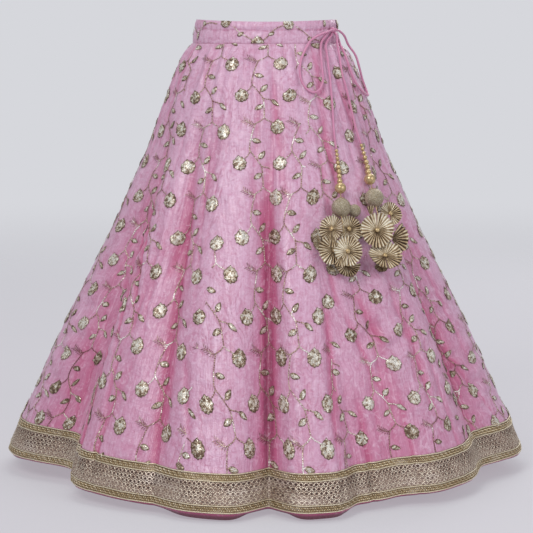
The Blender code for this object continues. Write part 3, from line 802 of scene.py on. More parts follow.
def silk_finish():
    """Raw silk: lilac-pink on lit crests and rose in painted fold shade, fine creases and a
    gloss.

    Creases lie along one level of a stretched noise, so each is a thin wandering line;
    slow clouds choose where they show.
    """
    silk = Finish("pink_silk", Specular_IOR_Level=0.62, Sheen_Weight=0.22,
                  Sheen_Roughness=0.35, Sheen_Tint=linear(236, 214, 240), Metallic=0.0,
                  Anisotropic=0.3, Emission_Strength=0.09)
    # A layer of painted light and shade: 1 on a lit crest, lower in the shade of folds and
    # creases and low down, below 0 where a shadow is painted under the border.
    crest = silk.layer("crest")
    slubs = silk.noise(silk.uv(14.0, 700.0), 3.0, 0.55)
    threads = silk.noise(silk.uv(900.0, 20.0), 2.0, 0.5)
    clouds = silk.noise(silk.uv(9.0, 6.0), 3.0, 0.6)
    crinkle = silk.noise(silk.uv(30.0, 104.0), 3.0, 0.6, 0.8)
    pleats = silk.noise(silk.uv(150.0, 5.0), 3.0, 0.55, 0.3)
    rumple = silk.noise(silk.uv(30.0, 11.0, 0.5), 3.0, 0.55, 1.2)
    other = silk.noise(silk.uv(34.0, 12.0, -0.6), 3.0, 0.55, 1.2)
    patches = silk.noise(silk.uv(5.0, 3.6), 2.0, 0.5)
    crush = silk.noise(silk.uv(74.0, 62.0), 4.0, 0.62, 1.4)
    waves = crinkle.line(420)
    lines = pleats.line(700)
    folds = rumple.line(900) * patches.above(0.50, 0.60)
    turns = other.line(900) * patches.above(0.50, 0.40)
    # The ramp paints the shade: rose in the shaded folds, lilac-pink on lit crests; the clouds
    # vary the tone at random.
    depth = crest + (clouds - 0.5) * 0.34
    color = silk.ramp(depth,
                      (0.00, linear(174, 76, 116)),
                      (0.35, linear(191, 112, 146)),
                      (0.70, linear(208, 152, 182)),
                      (1.00, linear(218, 176, 203)))
    color = silk.mix(slubs.above(0.56, 0.74) * 0.12, color, linear(232, 200, 222))
    # Painted shade along the crinkle lines, the fine crease lines (more of it in the folds) and
    # the rumple lines.
    color = silk.mix(waves * 0.16, color, linear(184, 100, 140))
    color = silk.mix(lines * (1.35 - crest) * 0.34, color, linear(172, 80, 120))
    color = silk.mix((folds + turns) * 0.34, color, linear(180, 90, 128))
    # Painted highlights on streaks down the pleats; painted shade and painted highlights on
    # crushed patches.
    color = silk.mix(pleats.above(0.60, 0.68) * 0.22, color, linear(236, 208, 228))
    color = silk.mix(crush.above(0.50, 0.34) * 0.30, color, linear(184, 96, 134))
    color = silk.mix(crush.above(0.52, 0.68) * 0.34, color, linear(236, 208, 228))
    # Painted shadow: the strip below the border, and the cloth hidden under it, go dark rose.
    color = silk.mix(crest.above(0.05, -0.45), color, linear(104, 46, 64))
    # Painted light: a faint pink glow in the folds stands for light bounced between them.
    painted_bounce_glow = silk.mix(crest.above(0.80, 0.35) * crest.above(-0.1, 0.1),
                    linear(0, 0, 0), linear(186, 84, 122))
    rough = 0.31 + (threads - 0.5) * 0.12 + (slubs - 0.5) * 0.12
    height = (crinkle * 0.40 + pleats * (1.30 - crest) * 0.6 + rumple * 0.6 + other * 0.6
              + crush * (0.3 + patches) * 0.9
              - (folds + turns) * 0.16 - lines * 0.10)
    first = silk.bump(height, 0.0030, 0.7)
    weave = slubs * 0.6 + threads * 0.4
    return silk.feed(Base_Color=color, Roughness=rough, Emission_Color=painted_bounce_glow,
                     Normal=silk.bump(weave, 0.0004, 0.25, first)).material


def lining_finish():
    """The inside: plain cotton satin, a little darker, with a faint weave."""
    lining = Finish("pink_lining", Specular_IOR_Level=0.3, Sheen_Weight=0.15)
    weave = lining.noise(lining.uv(500.0, 500.0), 2.0)
    clouds = lining.noise(lining.uv(7.0, 7.0), 3.0)
    color = lining.mix(clouds, linear(196, 118, 152), linear(214, 140, 172))
    return lining.feed(Base_Color=color, Roughness=0.62 + (weave - 0.5) * 0.1,
                       Normal=lining.bump(weave, 0.0004, 0.3)).material


def cord_finish():
    """Satin piping: threads wind round it, and it glows along its length."""
    cord = Finish("satin_piping", Specular_IOR_Level=0.5, Sheen_Weight=0.25,
                  Sheen_Roughness=0.3)
    wound = cord.bands(cord.uv(520.0, 1.0), 1.2)
    clouds = cord.noise(cord.uv(60.0, 3.0), 3.0)
    color = cord.mix(clouds, linear(208, 130, 166), linear(232, 168, 202))
    color = cord.mix(wound * 0.2, color, linear(176, 90, 128))
    return cord.feed(Base_Color=color, Roughness=0.40 + (clouds - 0.5) * 0.15,
                     Normal=cord.bump(wound + clouds, 0.0004, 0.5)).material


def braid_finish(name, middle, light):
    """Gold thread work: slanted strands, dark between, with bright twists and a shine."""
    braid = Finish(name, Specular_IOR_Level=0.5)
    strands = braid.noise(braid.uv(900.0, 900.0), 2.0, 0.6)
    wear_and_sheen = braid.noise(braid.uv(14.0, 30.0), 3.0)
    slants = braid.bands(braid.uv(100.0, 100.0, 0.6), 1.2)
    high = braid.layer("height")
    color = braid.ramp(high + (strands - 0.5) * 0.7 + (slants - 0.5) * 0.55
                       + (wear_and_sheen - 0.5) * 0.4,
                       (0.00, linear(78, 58, 44)),
                       (0.35, middle),
                       (0.72, light),
                       (1.00, linear(252, 244, 224)))
    # shine: patches of painted glints on the strands.
    shine = braid.noise(braid.uv(9.0, 26.0), 3.0, 0.6).above(0.54, 0.66)
    color = braid.mix(shine * (strands * 1.2 - 0.2), color, linear(240, 228, 218))
    return braid.feed(Base_Color=color, Metallic=0.45 + high * 0.25,
                      Roughness=0.42 + (strands - 0.5) * 0.3,
                      Normal=braid.bump(strands, 0.0006, 0.6)).material


def net_finish():
    """The net's backing: dark brown mesh and gold thread, paler with painted sheen near its
    foot.
    """
    net = Finish("net_backing", Specular_IOR_Level=0.4)
    threads = net.noise(net.uv(600.0, 600.0), 2.0)
    wear_and_sheen = net.noise(net.uv(16.0, 22.0), 3.0, 0.6)
    lower = net.layer("height")
    color = net.mix(threads.above(0.42, 0.6), linear(42, 28, 28), linear(106, 80, 70))
    # Pale patches, more of them towards the foot: painted sheen.
    color = net.mix((wear_and_sheen + lower * 0.34).above(0.56, 0.84) * 0.55, color,
                    linear(184, 162, 148))
    return net.feed(Base_Color=color, Metallic=threads * 0.4, Roughness=0.5 + threads * 0.2,
                    Normal=net.bump(threads, 0.0006, 0.6)).material


def bead_finish():
    """Satin gold beads: a soft mirror with faint rubbing."""
    bead = Finish("gold_bead", Specular_IOR_Level=0.6, Coat_Weight=0.25, Coat_Roughness=0.25)
    rub = bead.noise(bead.where(160.0), 4.0, 0.6)
    color = bead.mix(rub, linear(164, 134, 86), linear(226, 203, 156))
    return bead.feed(Base_Color=color, Metallic=0.55 + rub * 0.1,
                     Roughness=0.25 + (rub - 0.4) * 0.25,
                     Normal=bead.bump(rub, 0.0003, 0.3)).material


def glitter_finish():
    """Glitter: grains tilted all ways, dark gold between, a few that flash."""
    glitter = Finish("gold_glitter", Specular_IOR_Level=0.6)
    place = glitter.where(1700.0)
    spark = glitter.channel(glitter.cells(place, out=1), 0)
    edge = glitter.cells(place)
    # The brightest grains are painted flashes; the bump tilts the grains.
    color = glitter.ramp(spark, (0.0, linear(120, 104, 80)), (0.45, linear(172, 156, 126)),
                         (0.8, linear(212, 200, 172)), (1.0, linear(250, 246, 232)))
    return glitter.feed(Base_Color=color, Metallic=0.30 + spark * 0.25,
                        Roughness=0.55 - spark * 0.30,
                        Normal=glitter.bump(spark * 0.7 + edge * 0.5, 0.0010, 0.9)).material


def tissue_finish():
    """Metallic tissue: crushed gold cloth with painted light, silvery on the folds, brown in
    them.
    """
    tissue = Finish("gold_tissue", Specular_IOR_Level=0.5, Anisotropic=0.3)
    fibres = tissue.noise(tissue.uv(60.0, 1400.0), 3.0, 0.6)
    crushed = tissue.noise(tissue.where(52.0), 3.0, 0.6, 1.0)
    high = tissue.layer("height")
    # The height layer is the pleats' painted light and shade; the crushed patches add painted
    # silvery highlights and brown painted shade.
    color = tissue.ramp(high + (fibres - 0.5) * 0.5 + (crushed - 0.5) * 1.1,
                        (0.00, linear(56, 38, 24)),
                        (0.12, linear(104, 78, 50)),
                        (0.34, linear(160, 134, 100)),
                        (0.66, linear(206, 186, 150)),
                        (1.00, linear(250, 244, 226)))
    return tissue.feed(Base_Color=color, Metallic=0.22 + high * 0.25,
                       Roughness=0.36 + (fibres - 0.5) * 0.3,
                       Normal=tissue.bump(fibres + crushed * 3.0, 0.0010, 0.6)).material


def sequin_finish():
    """Sequin and gold thread work: flakes at all tilts with painted glints, inside a dark
    outline.
    """
    sequin = Finish("sequin_gold", Specular_IOR_Level=0.6)
    flakes = sequin.uv()
    tone = sequin.channel(sequin.cells(flakes, 620.0, out=1), 0)
    coil = sequin.channel(sequin.cells(flakes, 250.0, out=1), 1)
    rims = sequin.cells(flakes, 620.0, "DISTANCE_TO_EDGE").above(0.02, 0.16)
    inside = sequin.layer("inside")
    # Flake tones vary at random; the palest are painted glints.
    light = inside + (tone - 0.5) * 0.9 + (coil - 0.5) * 0.8
    color = sequin.ramp(light,
                        (0.00, linear(92, 68, 54)),
                        (0.30, linear(142, 116, 92)),
                        (0.64, linear(206, 188, 162)),
                        (1.00, linear(255, 252, 242)))
    color = sequin.mix((1 - rims) * 0.45, color, linear(98, 78, 52))
    return sequin.feed(Base_Color=color, Metallic=0.25 + tone * 0.35,
                       Roughness=0.46 - tone * 0.22,
                       Normal=sequin.bump(tone * rims, 0.0009, 0.8)).material


def vine_finish():
    """The vine's chain of beads and sequins: dull gold, with white flashes."""
    vine = Finish("vine_beads", Specular_IOR_Level=0.6)
    tone = vine.channel(vine.cells(vine.uv(), 560.0, out=1), 0)
    # flash: patches of painted glints.
    flash = vine.noise(vine.uv(26.0, 26.0), 1.0).above(0.54, 0.66)
    light = vine.layer("inside") + (tone - 0.5) * 0.85 + flash * 0.6 - 0.12
    color = vine.ramp(light,
                      (0.00, linear(124, 74, 78)),
                      (0.38, linear(168, 128, 116)),
                      (0.68, linear(206, 188, 166)),
                      (1.00, linear(255, 253, 248)))
    return vine.feed(Base_Color=color, Metallic=tone * 0.4, Roughness=0.45 - tone * 0.2,
                     Normal=vine.bump(tone, 0.0008, 0.8)).material


SILK = silk_finish()
LINING = lining_finish()
PIPING = cord_finish()
BRAID = braid_finish("gold_braid", linear(130, 106, 74), linear(192, 170, 126))
RING = braid_finish("net_ring", linear(132, 104, 88), linear(202, 180, 162))
NET = net_finish()
BEAD = bead_finish()
GLITTER = glitter_finish()
TISSUE = tissue_finish()
SEQUIN = sequin_finish()
VINE = vine_finish()


# ---- camera, floor and lights ----

CAMERA_TIP = 7.0
FLOOR_LEVEL = -1.001
FLOOR_REACH = 7.0
FLOOR_RINGS = 30
FLOOR_SIDES = 96
BACKGROUND = linear(214, 215, 220)
LIT_MIDDLE = (0.0, 0.0, -0.55)


def camera():
    """Straight in front at the waist's height, with a long lens, tipped down a little."""
    data = bpy.data.cameras.new("camera")
    data.lens = 133.4
    data.sensor_width = 36.0
    data.clip_end = 60.0
    obj = bpy.data.objects.new("camera", data)
    obj.location = (0.001, -4.4, -0.01)
    obj.rotation_euler = (math.radians(90.0 - CAMERA_TIP), 0.0, 0.0)
    bpy.context.scene.collection.objects.link(obj)
    bpy.context.scene.camera = obj


def floor():
    """A pale round floor, flat to its rim, that fades into the background."""
    pale = Finish("pale_floor", Roughness=0.9, Specular_IOR_Level=0.2,
                  Emission_Color=linear(206, 205, 212), Emission_Strength=0.545)
    place = pale.add("ShaderNodeTexCoord", out=3)
    reach = pale.add("ShaderNodeVectorMath", {"operation": "LENGTH"}, {0: place}, 1)
    tone = pale.noise(pale.where(1.5), 2.0)
    color = pale.mix(tone, linear(148, 147, 151), linear(151, 150, 153))
    shade = reach.above(1.4, FLOOR_REACH)
    pale.feed(Base_Color=color, Alpha=1 - shade)
    reaches = np.linspace(0.02, FLOOR_REACH, FLOOR_RINGS)[:, None]
    angle = round_angles(FLOOR_SIDES)
    points = np.stack([reaches * np.cos(angle), reaches * np.sin(angle),
                       np.full((FLOOR_RINGS, FLOOR_SIDES), FLOOR_LEVEL)], axis=-1)
    faces = grid_faces(FLOOR_RINGS, FLOOR_SIDES, False, True)
    put("floor", points, faces, [pale.material])


def area_light(name, place, size, power, color=(1.0, 1.0, 1.0)):
    """A round soft light that points at the middle of the skirt."""
    data = bpy.data.lights.new(name, "AREA")
    data.shape = "DISK"
    data.size = size
    data.energy = power
    data.color = color
    obj = bpy.data.objects.new(name, data)
    obj.location = place
    way = Vector(LIT_MIDDLE) - Vector(place)
    obj.rotation_euler = way.to_track_quat("-Z", "Y").to_euler()
    bpy.context.scene.collection.objects.link(obj)


def lights():
    """A wide key from the front left, a fill from the right, two more and a pale room."""
    area_light("key", (-1.5, -3.6, 2.4), 2.0, 85.0, (1.0, 0.985, 0.97))
    area_light("fill", (3.2, -2.8, 0.9), 2.8, 38.0, (0.97, 0.98, 1.0))
    area_light("top", (0.0, 0.6, 3.4), 3.0, 46.0)
    area_light("back", (1.5, 3.6, 1.6), 2.4, 40.0)
    world = bpy.data.worlds.new("pale_room")
    bpy.context.scene.world = world
    world.use_nodes = True
    tree = world.node_tree
    seen = tree.nodes["Background"]
    seen.inputs["Color"].default_value = BACKGROUND
    seen.inputs["Strength"].default_value = 1.0
    room = tree.nodes.new("ShaderNodeBackground")
    room.inputs["Color"].default_value = linear(226, 226, 230)
    room.inputs["Strength"].default_value = 0.52
    choice = tree.nodes.new("ShaderNodeMixShader")
    rays = tree.nodes.new("ShaderNodeLightPath")
    tree.links.new(rays.outputs["Is Camera Ray"], choice.inputs[0])
    tree.links.new(room.outputs[0], choice.inputs[1])
    tree.links.new(seen.outputs[0], choice.inputs[2])
    tree.links.new(choice.outputs[0], tree.nodes["World Output"].inputs["Surface"])
    bpy.context.scene.view_settings.view_transform = "Standard"


# ---- drawstring and strings ----

KNOT_TURNS = ((-0.0019, 0.25), (0.0021, -0.20))    # shift along the knot, lean
KNOT_SLANT = 0.0034          # shift of a turn's top for a lean of one
KNOT_HALF_HEIGHT = 0.0038
KNOT_HALF_DEPTH = 0.0030
KNOT_CORD = 0.0022           # half width of the cord where it is pulled tight
CORD_SIDES = 14
CORD_STEP = 0.003            # between a drawn cord's points
BEAD_STEP = 0.006            # between the points that beads are placed by


def cord_out(route, points):
    """Directions off the cloth along a route, one for each of its even points."""
    turn, down, _ = np.asarray(route, float).T
    knots = run_of(clear_of_cloth(route))
    at = np.linspace(0.0, knots[-1], len(points))
    return outward(np.interp(at, knots, turn), np.interp(at, knots, down))


def cord_points(name):
    """Even points along one of the drawstring's loops or tails."""
    return smooth_route(clear_of_cloth(CORD_ROUTES[name]), CORD_STEP)


def drawstring():
    """Piping with a soft, slightly uneven round, in two loops and two tails."""
    made = {}
    for name, route in CORD_ROUTES.items():
        points = cord_points(name)
        run = run_of(points)
        uneven = 0.03 * np.cos(run * 310.0) + 0.02 * np.cos(run * 97.0 + 1.0)
        points, faces, uv = tube(points, cord_out(route, points),
                                 CORD / 2 * (1.0 + uneven), CORD_SIDES)
        made[name] = settle(put(f"piping_{name}", points, faces, [PIPING], uv), "cord", name)
    return made


def declare_drawstring(cords):
    """Works out the points along each loop and tail, and keeps nothing."""
    for name, cord in cords.items():
        points = cord_points(name)


def knot():
    """Two turns of the cord wrapped close round the crossing."""
    middle = clear_of_cloth([KNOT_PLACE])[0]
    out = outward(*KNOT_PLACE[:2])
    up = np.array([0.0, 0.0, 1.0])
    side = np.cross(up, out)
    angle = np.linspace(0.0, 2 * math.pi, 29)[:-1]
    shapes = []
    for shift, lean in KNOT_TURNS:
        ring = (middle + side * (shift + KNOT_SLANT * lean * np.sin(angle))[:, None]
                + up * (KNOT_HALF_HEIGHT * np.sin(angle))[:, None]
                + out * (KNOT_HALF_DEPTH * np.cos(angle))[:, None])
        away = unit(ring - middle - side * shift)
        shapes.append(tube(ring, away, KNOT_CORD, 12, closed=True))
    points, faces, uv = joined(shapes)
    settle(put("wrapped_knot", points, faces, [PIPING], uv), "cord", "knot")


def bored_ball(radius, bore, arcs):
    """Profile of a ball with a hole through it, closed down its outside and up the bore."""
    edge = math.asin(bore / radius)
    angles = np.linspace(math.pi - edge, edge, arcs + 1)
    return [(radius * math.sin(a), radius * math.cos(a)) for a in angles][::-1]


def closed_turned(name, profile, place, direction, sides, finish, slot, node):
    """A turned piece whose profile is a closed loop, from its top down the outside."""
    flipped = [(radius, -height) for radius, height in profile]
    points, faces, uv = turned(flipped, place, direction, sides, closed=True)
    return settle(put(name, points, faces, [finish], uv), slot, node)


def bead_string(side):
    """One tassel's thread with its beads, large bead, glitter ball and cap."""
    count, first, growth, large, ball, ball_down = BEAD_STRINGS[side]
    route = STRING_ROUTES[side]
    points = smooth_route(clear_of_cloth(route), BEAD_STEP)
    fine = smooth_route(clear_of_cloth(route), CORD_STEP)
    tube_points, faces, uv = tube(fine, cord_out(route, fine), THREAD / 2, 10)
    thread = settle(put(f"thread_{side}", tube_points, faces, [BEAD], uv), "cord",
                    f"string_{side}")
    bore = THREAD / 2.0 + 0.0001
    threaded = []
    at = GAP + first / 2.0
    diameter = first
    for number in range(count):
        place, direction = along(points, at, diameter / 2.0)
        threaded.append(closed_turned(
            f"gold_bead_{side}_{number + 1}", bored_ball(diameter / 2.0, bore, 12), place,
            direction, 20, BEAD, "bead", f"bead_{side}_{number + 1}"))
        following = large if number == count - 1 else diameter + growth
        at += (diameter + following) / 2.0 + GAP
        diameter = following
    place, direction = along(points, at, large / 2.0)
    threaded.append(closed_turned(
        f"gold_large_bead_{side}", bored_ball(large / 2.0, bore, 22), place, direction, 36,
        BEAD, "bead", f"large_bead_{side}"))
    run = run_of(points)
    level = clear_of_cloth([row for row in route if row[1] == ball_down])
    nearest = np.argmin(np.linalg.norm(points - level[0], axis=1))
    place, direction = along(points, run[nearest], ball / 2.0)
    threaded.append(closed_turned(
        f"glitter_{side}", bored_ball(ball / 2.0, bore, 40), place, direction, 64,
        GLITTER, "glitter", f"glitter_ball_{side}"))
    threaded.append(cap(side, ball / 2.0 + GAP, place, direction))
    return thread, fine, threaded


CAP_SIDES = 48
CAP_WALL = (
    # share of the way from the bore to the rim, height off the ball: outside, then inside
    (0.0, 0.0016), (0.25, 0.0014), (0.5, 0.0011), (0.75, 0.0010), (1.0, 0.0008),
    (1.02, 0.0002), (0.6, 0.0), (0.0, 0.0),
)


def cap(side, radius, place, direction):
    """A stamped cup over the ball's top: a dome whose rim is cut in eight petals."""
    edge = math.asin(BALL_BORE / radius)
    angle = round_angles(CAP_SIDES)
    petal = 0.06 * np.abs(np.cos(4 * angle))
    rows = []
    for share, out in CAP_WALL:
        tilt = edge + (CAP_RIM - 0.04 + petal - edge) * share
        ribs = 1.0 + 0.012 * np.cos(8 * angle) * share
        rows.append(np.stack([(radius + out) * ribs * np.sin(tilt),
                              -(radius + out) * np.cos(tilt) + 0.0 * angle], axis=-1))
    profile = np.array(rows)
    direction = unit(np.asarray(direction))
    points = (place + direction * profile[..., 1:]
              + spokes_about(direction, angle) * profile[..., :1])
    uv = np.stack(np.broadcast_arrays(angle, profile[..., 1]), axis=-1)
    faces = grid_faces(len(rows), CAP_SIDES, True, True)
    return settle(put(f"stamped_cap_{side}", points, faces, [BEAD], uv), "bead",
                  f"cap_{side}")


PLEAT_TURN = 12.8            # degrees of spread for each pleat
PLEAT_STEPS = 4              # columns of faces in each pleat
PLEAT_RISE = 0.0021          # height of a fold at the rim, either side of the middle
FAN_RINGS = 9
FAN_HUB = 0.0034             # radius at which the pleats gather
TISSUE_WALL = 0.0006
BUTTONED = 150.0             # a fan that spreads further than this has a button
BUTTON = (
    # radius, distance back from the button's seat
    (0.0001, -0.0030), (0.0024, -0.0027), (0.0044, -0.0016), (0.0052, 0.0002),
    (0.0042, 0.0018), (0.0001, 0.0022),
)
BUTTON_SEAT = 0.0012
FAN_SEEDS = {"left": 0, "right": 10}


def pleats(radius, spread, aim, seed):
    """Pleats seen from a fan's face: (aside, up, out) points, pattern places and shades.

    A point is at a reach and an angle. Its height off the middle plane is a triangle wave
    of the angle that grows from the hub to the rim, on a shallow uneven cup. The rim is cut
    in a zigzag, a little further out on each upper fold. Shades are painted light and shade:
    light on the upper folds and on one lit side, and dark in painted shade at the hub.
    """
    draw = np.random.default_rng(seed)
    count = max(3, round(spread / PLEAT_TURN))
    folds = np.arange(count + 1)
    place = np.linspace(0.0, count, count * PLEAT_STEPS + 1)
    share = np.linspace(0.0, 1.0, FAN_RINGS)[:, None]
    wave = 1.0 - 4.0 * np.abs(place - np.floor(place) - 0.5)
    wobble = np.interp(place, folds, draw.normal(0.0, 0.12, len(folds)))
    angle = np.radians(aim - spread / 2 + spread * (place + wobble * 0.5) / count)
    ragged = np.interp(place, np.arange(0.0, count + 0.25, 0.5),
                       draw.normal(0.0, 0.03, 2 * count + 1))
    rim = radius * (1.03 + 0.030 * wave + wobble * 0.10 + ragged)
    reach = FAN_HUB + (rim - FAN_HUB) * share
    height = PLEAT_RISE * wave * (0.25 + 0.75 * share) * (1.0 + wobble)
    sway = draw.uniform(0.0, 2 * math.pi)
    cup = (0.004 + 0.003 * np.cos(2 * angle + sway)) * share ** 2 * (radius / 0.035)
    local = np.stack([reach * np.cos(angle), reach * np.sin(angle), height + cup - 0.002],
                     axis=-1)
    uv = np.stack(np.broadcast_arrays(reach, np.radians(spread) * place / count), axis=-1)
    # The shade is painted light: lit upper folds, one lit side, painted shade at the hub; shine
    # and a last draw vary it by pleat and fan.
    shine = np.interp(place, folds, draw.normal(0.0, 0.13, len(folds)))
    painted_side_light = 0.14 * np.cos(angle - 2.2 + draw.normal(0.0, 0.7))
    shade = (0.5 + 0.5 * wave * (0.7 + 0.3 * share) + shine + painted_side_light
             + draw.normal(0.0, 0.08) - 0.25 * (1.0 - share) ** 3)
    return local, uv, shade


def thin_sheet(points, half_wall, uv, shade):
    """A closed thin sheet from a grid: a front, a back and an edge all round."""
    points, uv, shade = points[:, ::-1], uv[:, ::-1], shade[:, ::-1]
    rows, columns = shade.shape
    flat = np.concatenate([(points + half_wall).reshape(-1, 3),
                           (points - half_wall).reshape(-1, 3)])
    sheet = grid_faces(rows, columns)
    count = rows * columns
    index = np.arange(count).reshape(rows, columns)
    rim = np.concatenate([index[0], index[1:, -1], index[-1, -2::-1], index[-2:0:-1, 0]])
    ahead = np.roll(rim, -1)
    edge = np.stack([rim, ahead, ahead + count, rim + count], axis=-1)
    faces = np.concatenate([sheet[:, ::-1], sheet + count, edge])
    return flat, faces, np.tile(uv.reshape(-1, 2), (2, 1)), np.tile(shade.ravel(), 2)


def pleated_fan(name, turn, down, lift, radius, spread, aim, face_turn, face_tip, seed):
    """A pleated fan or rosette, with a small button where the pleats of a wide one gather.

    It faces out by a turn and a tip. Its spread is centred on its aim, in degrees
    anticlockwise from the right, as seen from the front.
    """
    face_turn, face_tip = math.radians(face_turn), math.radians(face_tip)
    face = np.array([math.sin(face_turn) * math.cos(face_tip),
                     -math.cos(face_turn) * math.cos(face_tip), math.sin(face_tip)])
    side = unit(np.cross((0.0, 0.0, 1.0), face))
    rise = np.cross(face, side)
    middle = clear_of_cloth([(turn, down, lift)])[0]
    local, uv, shade = pleats(radius, spread, aim, seed)
    points = (middle + side * local[..., :1] + rise * local[..., 1:2]
              + face * local[..., 2:])
    points, faces, uv, shade = thin_sheet(points, face * TISSUE_WALL / 2.0, uv, shade)
    part = np.zeros(len(faces), int)
    if spread > BUTTONED:
        knob = turned(BUTTON, middle + face * BUTTON_SEAT, -face, 14)
        part = np.r_[part, np.ones(len(knob[1]), int)]
        shade = np.r_[shade, np.ones(knob[0].size // 3)]
        points, faces, uv = joined([(points, faces, uv), knob])
    fan = put(f"tissue_{name}", points, faces, [TISSUE, BEAD], uv, {"height": shade}, part)
    return settle(fan, "tissue", name)


STRING_REACH = 0.059         # a piece that reaches further from its string isn't listed


def reach_from(line, piece):
    """How far a piece's furthest point is from the nearest point of a line."""
    points = np.empty(3 * len(piece.data.vertices), dtype=np.float32)
    piece.data.vertices.foreach_get("co", points)
    away = points.reshape(-1, 1, 3) - line[None]
    return np.linalg.norm(away, axis=-1).min(axis=1).max()


def tassels():
    """Both tassels; the pieces that lie near each string are found, and not kept."""
    for side in BEAD_STRINGS:
        thread, points, threaded = bead_string(side)
        threaded += [pleated_fan(f"fan_{side}_{number + 1}", *row, FAN_SEEDS[side] + number)
                     for number, row in enumerate(FANS[side])]
        if side == "left":
            threaded.append(closed_turned(
                "glitter_spare", bored_ball(SPARE_BALL[3] / 2.0, THREAD / 2.0, 28),
                clear_of_cloth([SPARE_BALL[:3]])[0], (0.0, 0.0, -1.0), 44, GLITTER,
                "glitter", "spare_ball"))
        near = [piece for piece in threaded if reach_from(points, piece) < STRING_REACH]


# ---- cloth ----

def wall(obj, thickness):
    """Give a sheet its thickness inwards, with the lining's finish on the inside."""
    solid = obj.modifiers.new("wall", "SOLIDIFY")
    solid.thickness = thickness
    solid.offset = -1.0
    solid.material_offset = 1
    solid.material_offset_rim = 0
    return obj


def flat_size(points):
    """Greatest width, length down the middle and area of a sheet's grid of points."""
    width = np.linalg.norm(np.diff(points, axis=1), axis=-1).sum(axis=1).max()
    length = run_of(points[:, points.shape[1] // 2])[-1]
    down = np.diff(points, axis=0)[:, :-1]
    across = np.diff(points, axis=1)[:-1]
    area = np.linalg.norm(np.cross(down, across), axis=-1).sum()
    width, length = round(float(width), 3), round(float(length), 3)
    return width, length, min(round(float(area), 4), width * length)


def sheet_uv(points):
    """Metres across from the middle and metres down, along the cloth itself."""
    across = np.linalg.norm(np.diff(points, axis=1), axis=-1)
    across = np.concatenate([np.zeros((len(points), 1)), np.cumsum(across, axis=1)], axis=1)
    across = across - across[:, across.shape[1] // 2, None]
    down = run_of(points[:, points.shape[1] // 2])
    return np.stack(np.broadcast_arrays(across, down[:, None]), axis=-1)


HEM_SHADOW_DROP = 0.0135            # how far the strip of painted shadow hangs below the border on a ridge
HEM_SHARES = (0.25, 0.6, 1.0)
PATTERN_SHIFT = 0.61         # metres, so that no two panels show the same creases


def hem_shadow_strip(edge, turn):
    """Painted shadow under the hem: dark rows below the border, down and in by most of that.

    The drop is full on a ridge at the front or back, less in a valley and at the sides.
    """
    ridge = 1.0 - step_up(fold_depth(turn, 1.0), 0.0, 0.035)
    drop = HEM_SHADOW_DROP * (0.2 + 0.8 * ridge) * (0.3 + 0.7 * np.cos(np.radians(turn)) ** 4)
    inward = -unit(edge * (1.0, 1.0, 0.0)) * 0.7 + (0.0, 0.0, -1.0)
    shares = np.array(HEM_SHARES)[:, None]
    rows = edge + inward * (drop * shares)[..., None]
    return rows, -0.1 - 0.5 * shares + 0.0 * drop


def panels():
    """The ten flared panels: a fine grid of the drape with its gathers and creases.

    The layer of painted light and shade is 1 on a lit ridge, less in the shade of a valley or
    a crease and a little less with the fall, and 0 under the border.
    """
    falls = np.linspace(0.0, 1.0, PANEL_ROWS) ** ROW_CROWDING
    for number, name in enumerate(SILK_PANELS):
        start = FIRST_SEAM + number * PANEL_TURN
        turns = np.linspace(start, start + PANEL_TURN, PANEL_COLUMNS + 1)
        turn, fall = np.meshgrid(turns, falls)
        points = skirt_points(turn, fall)
        # Painted shade: darker in the folds' valleys, in the creases and lower down.
        crest = (1.0 - 0.38 * step_up(fold_depth(turn, fall), 0.0, 0.02 + 0.05 * fall)
                 - np.minimum(crease_depth(turn, fall) / 0.0075, 1.0) * 0.62 - 0.13 * fall)
        crest[fall > border_falls()[1]] = 0.0
        uv = sheet_uv(points) + (PATTERN_SHIFT * number, 0.0)
        # Rows below the border: a dark strip that paints the shadow under the hem.
        hem, hem_painted_light = hem_shadow_strip(points[-1], turn[-1])
        hem_uv = uv[-1] + np.array(HEM_SHARES)[:, None, None] * (0.0, HEM_SHADOW_DROP)
        panel = put(name, np.concatenate([points, hem]),
                    grid_faces(PANEL_ROWS + len(hem), PANEL_COLUMNS + 1), [SILK, LINING],
                    np.concatenate([uv, hem_uv]),
                    {"crest": np.concatenate([crest, hem_painted_light])}, crisp_rim=True)
        settle(wall(panel, CLOTH), "silk", name.removeprefix("silk_"))


BAND_GRID_ROWS = 27
SEAM_WIDTH = 0.0016          # half width of a stitched groove
PUCKER_WIDTH = 0.0045        # how far from the stitches the cloth puckers more


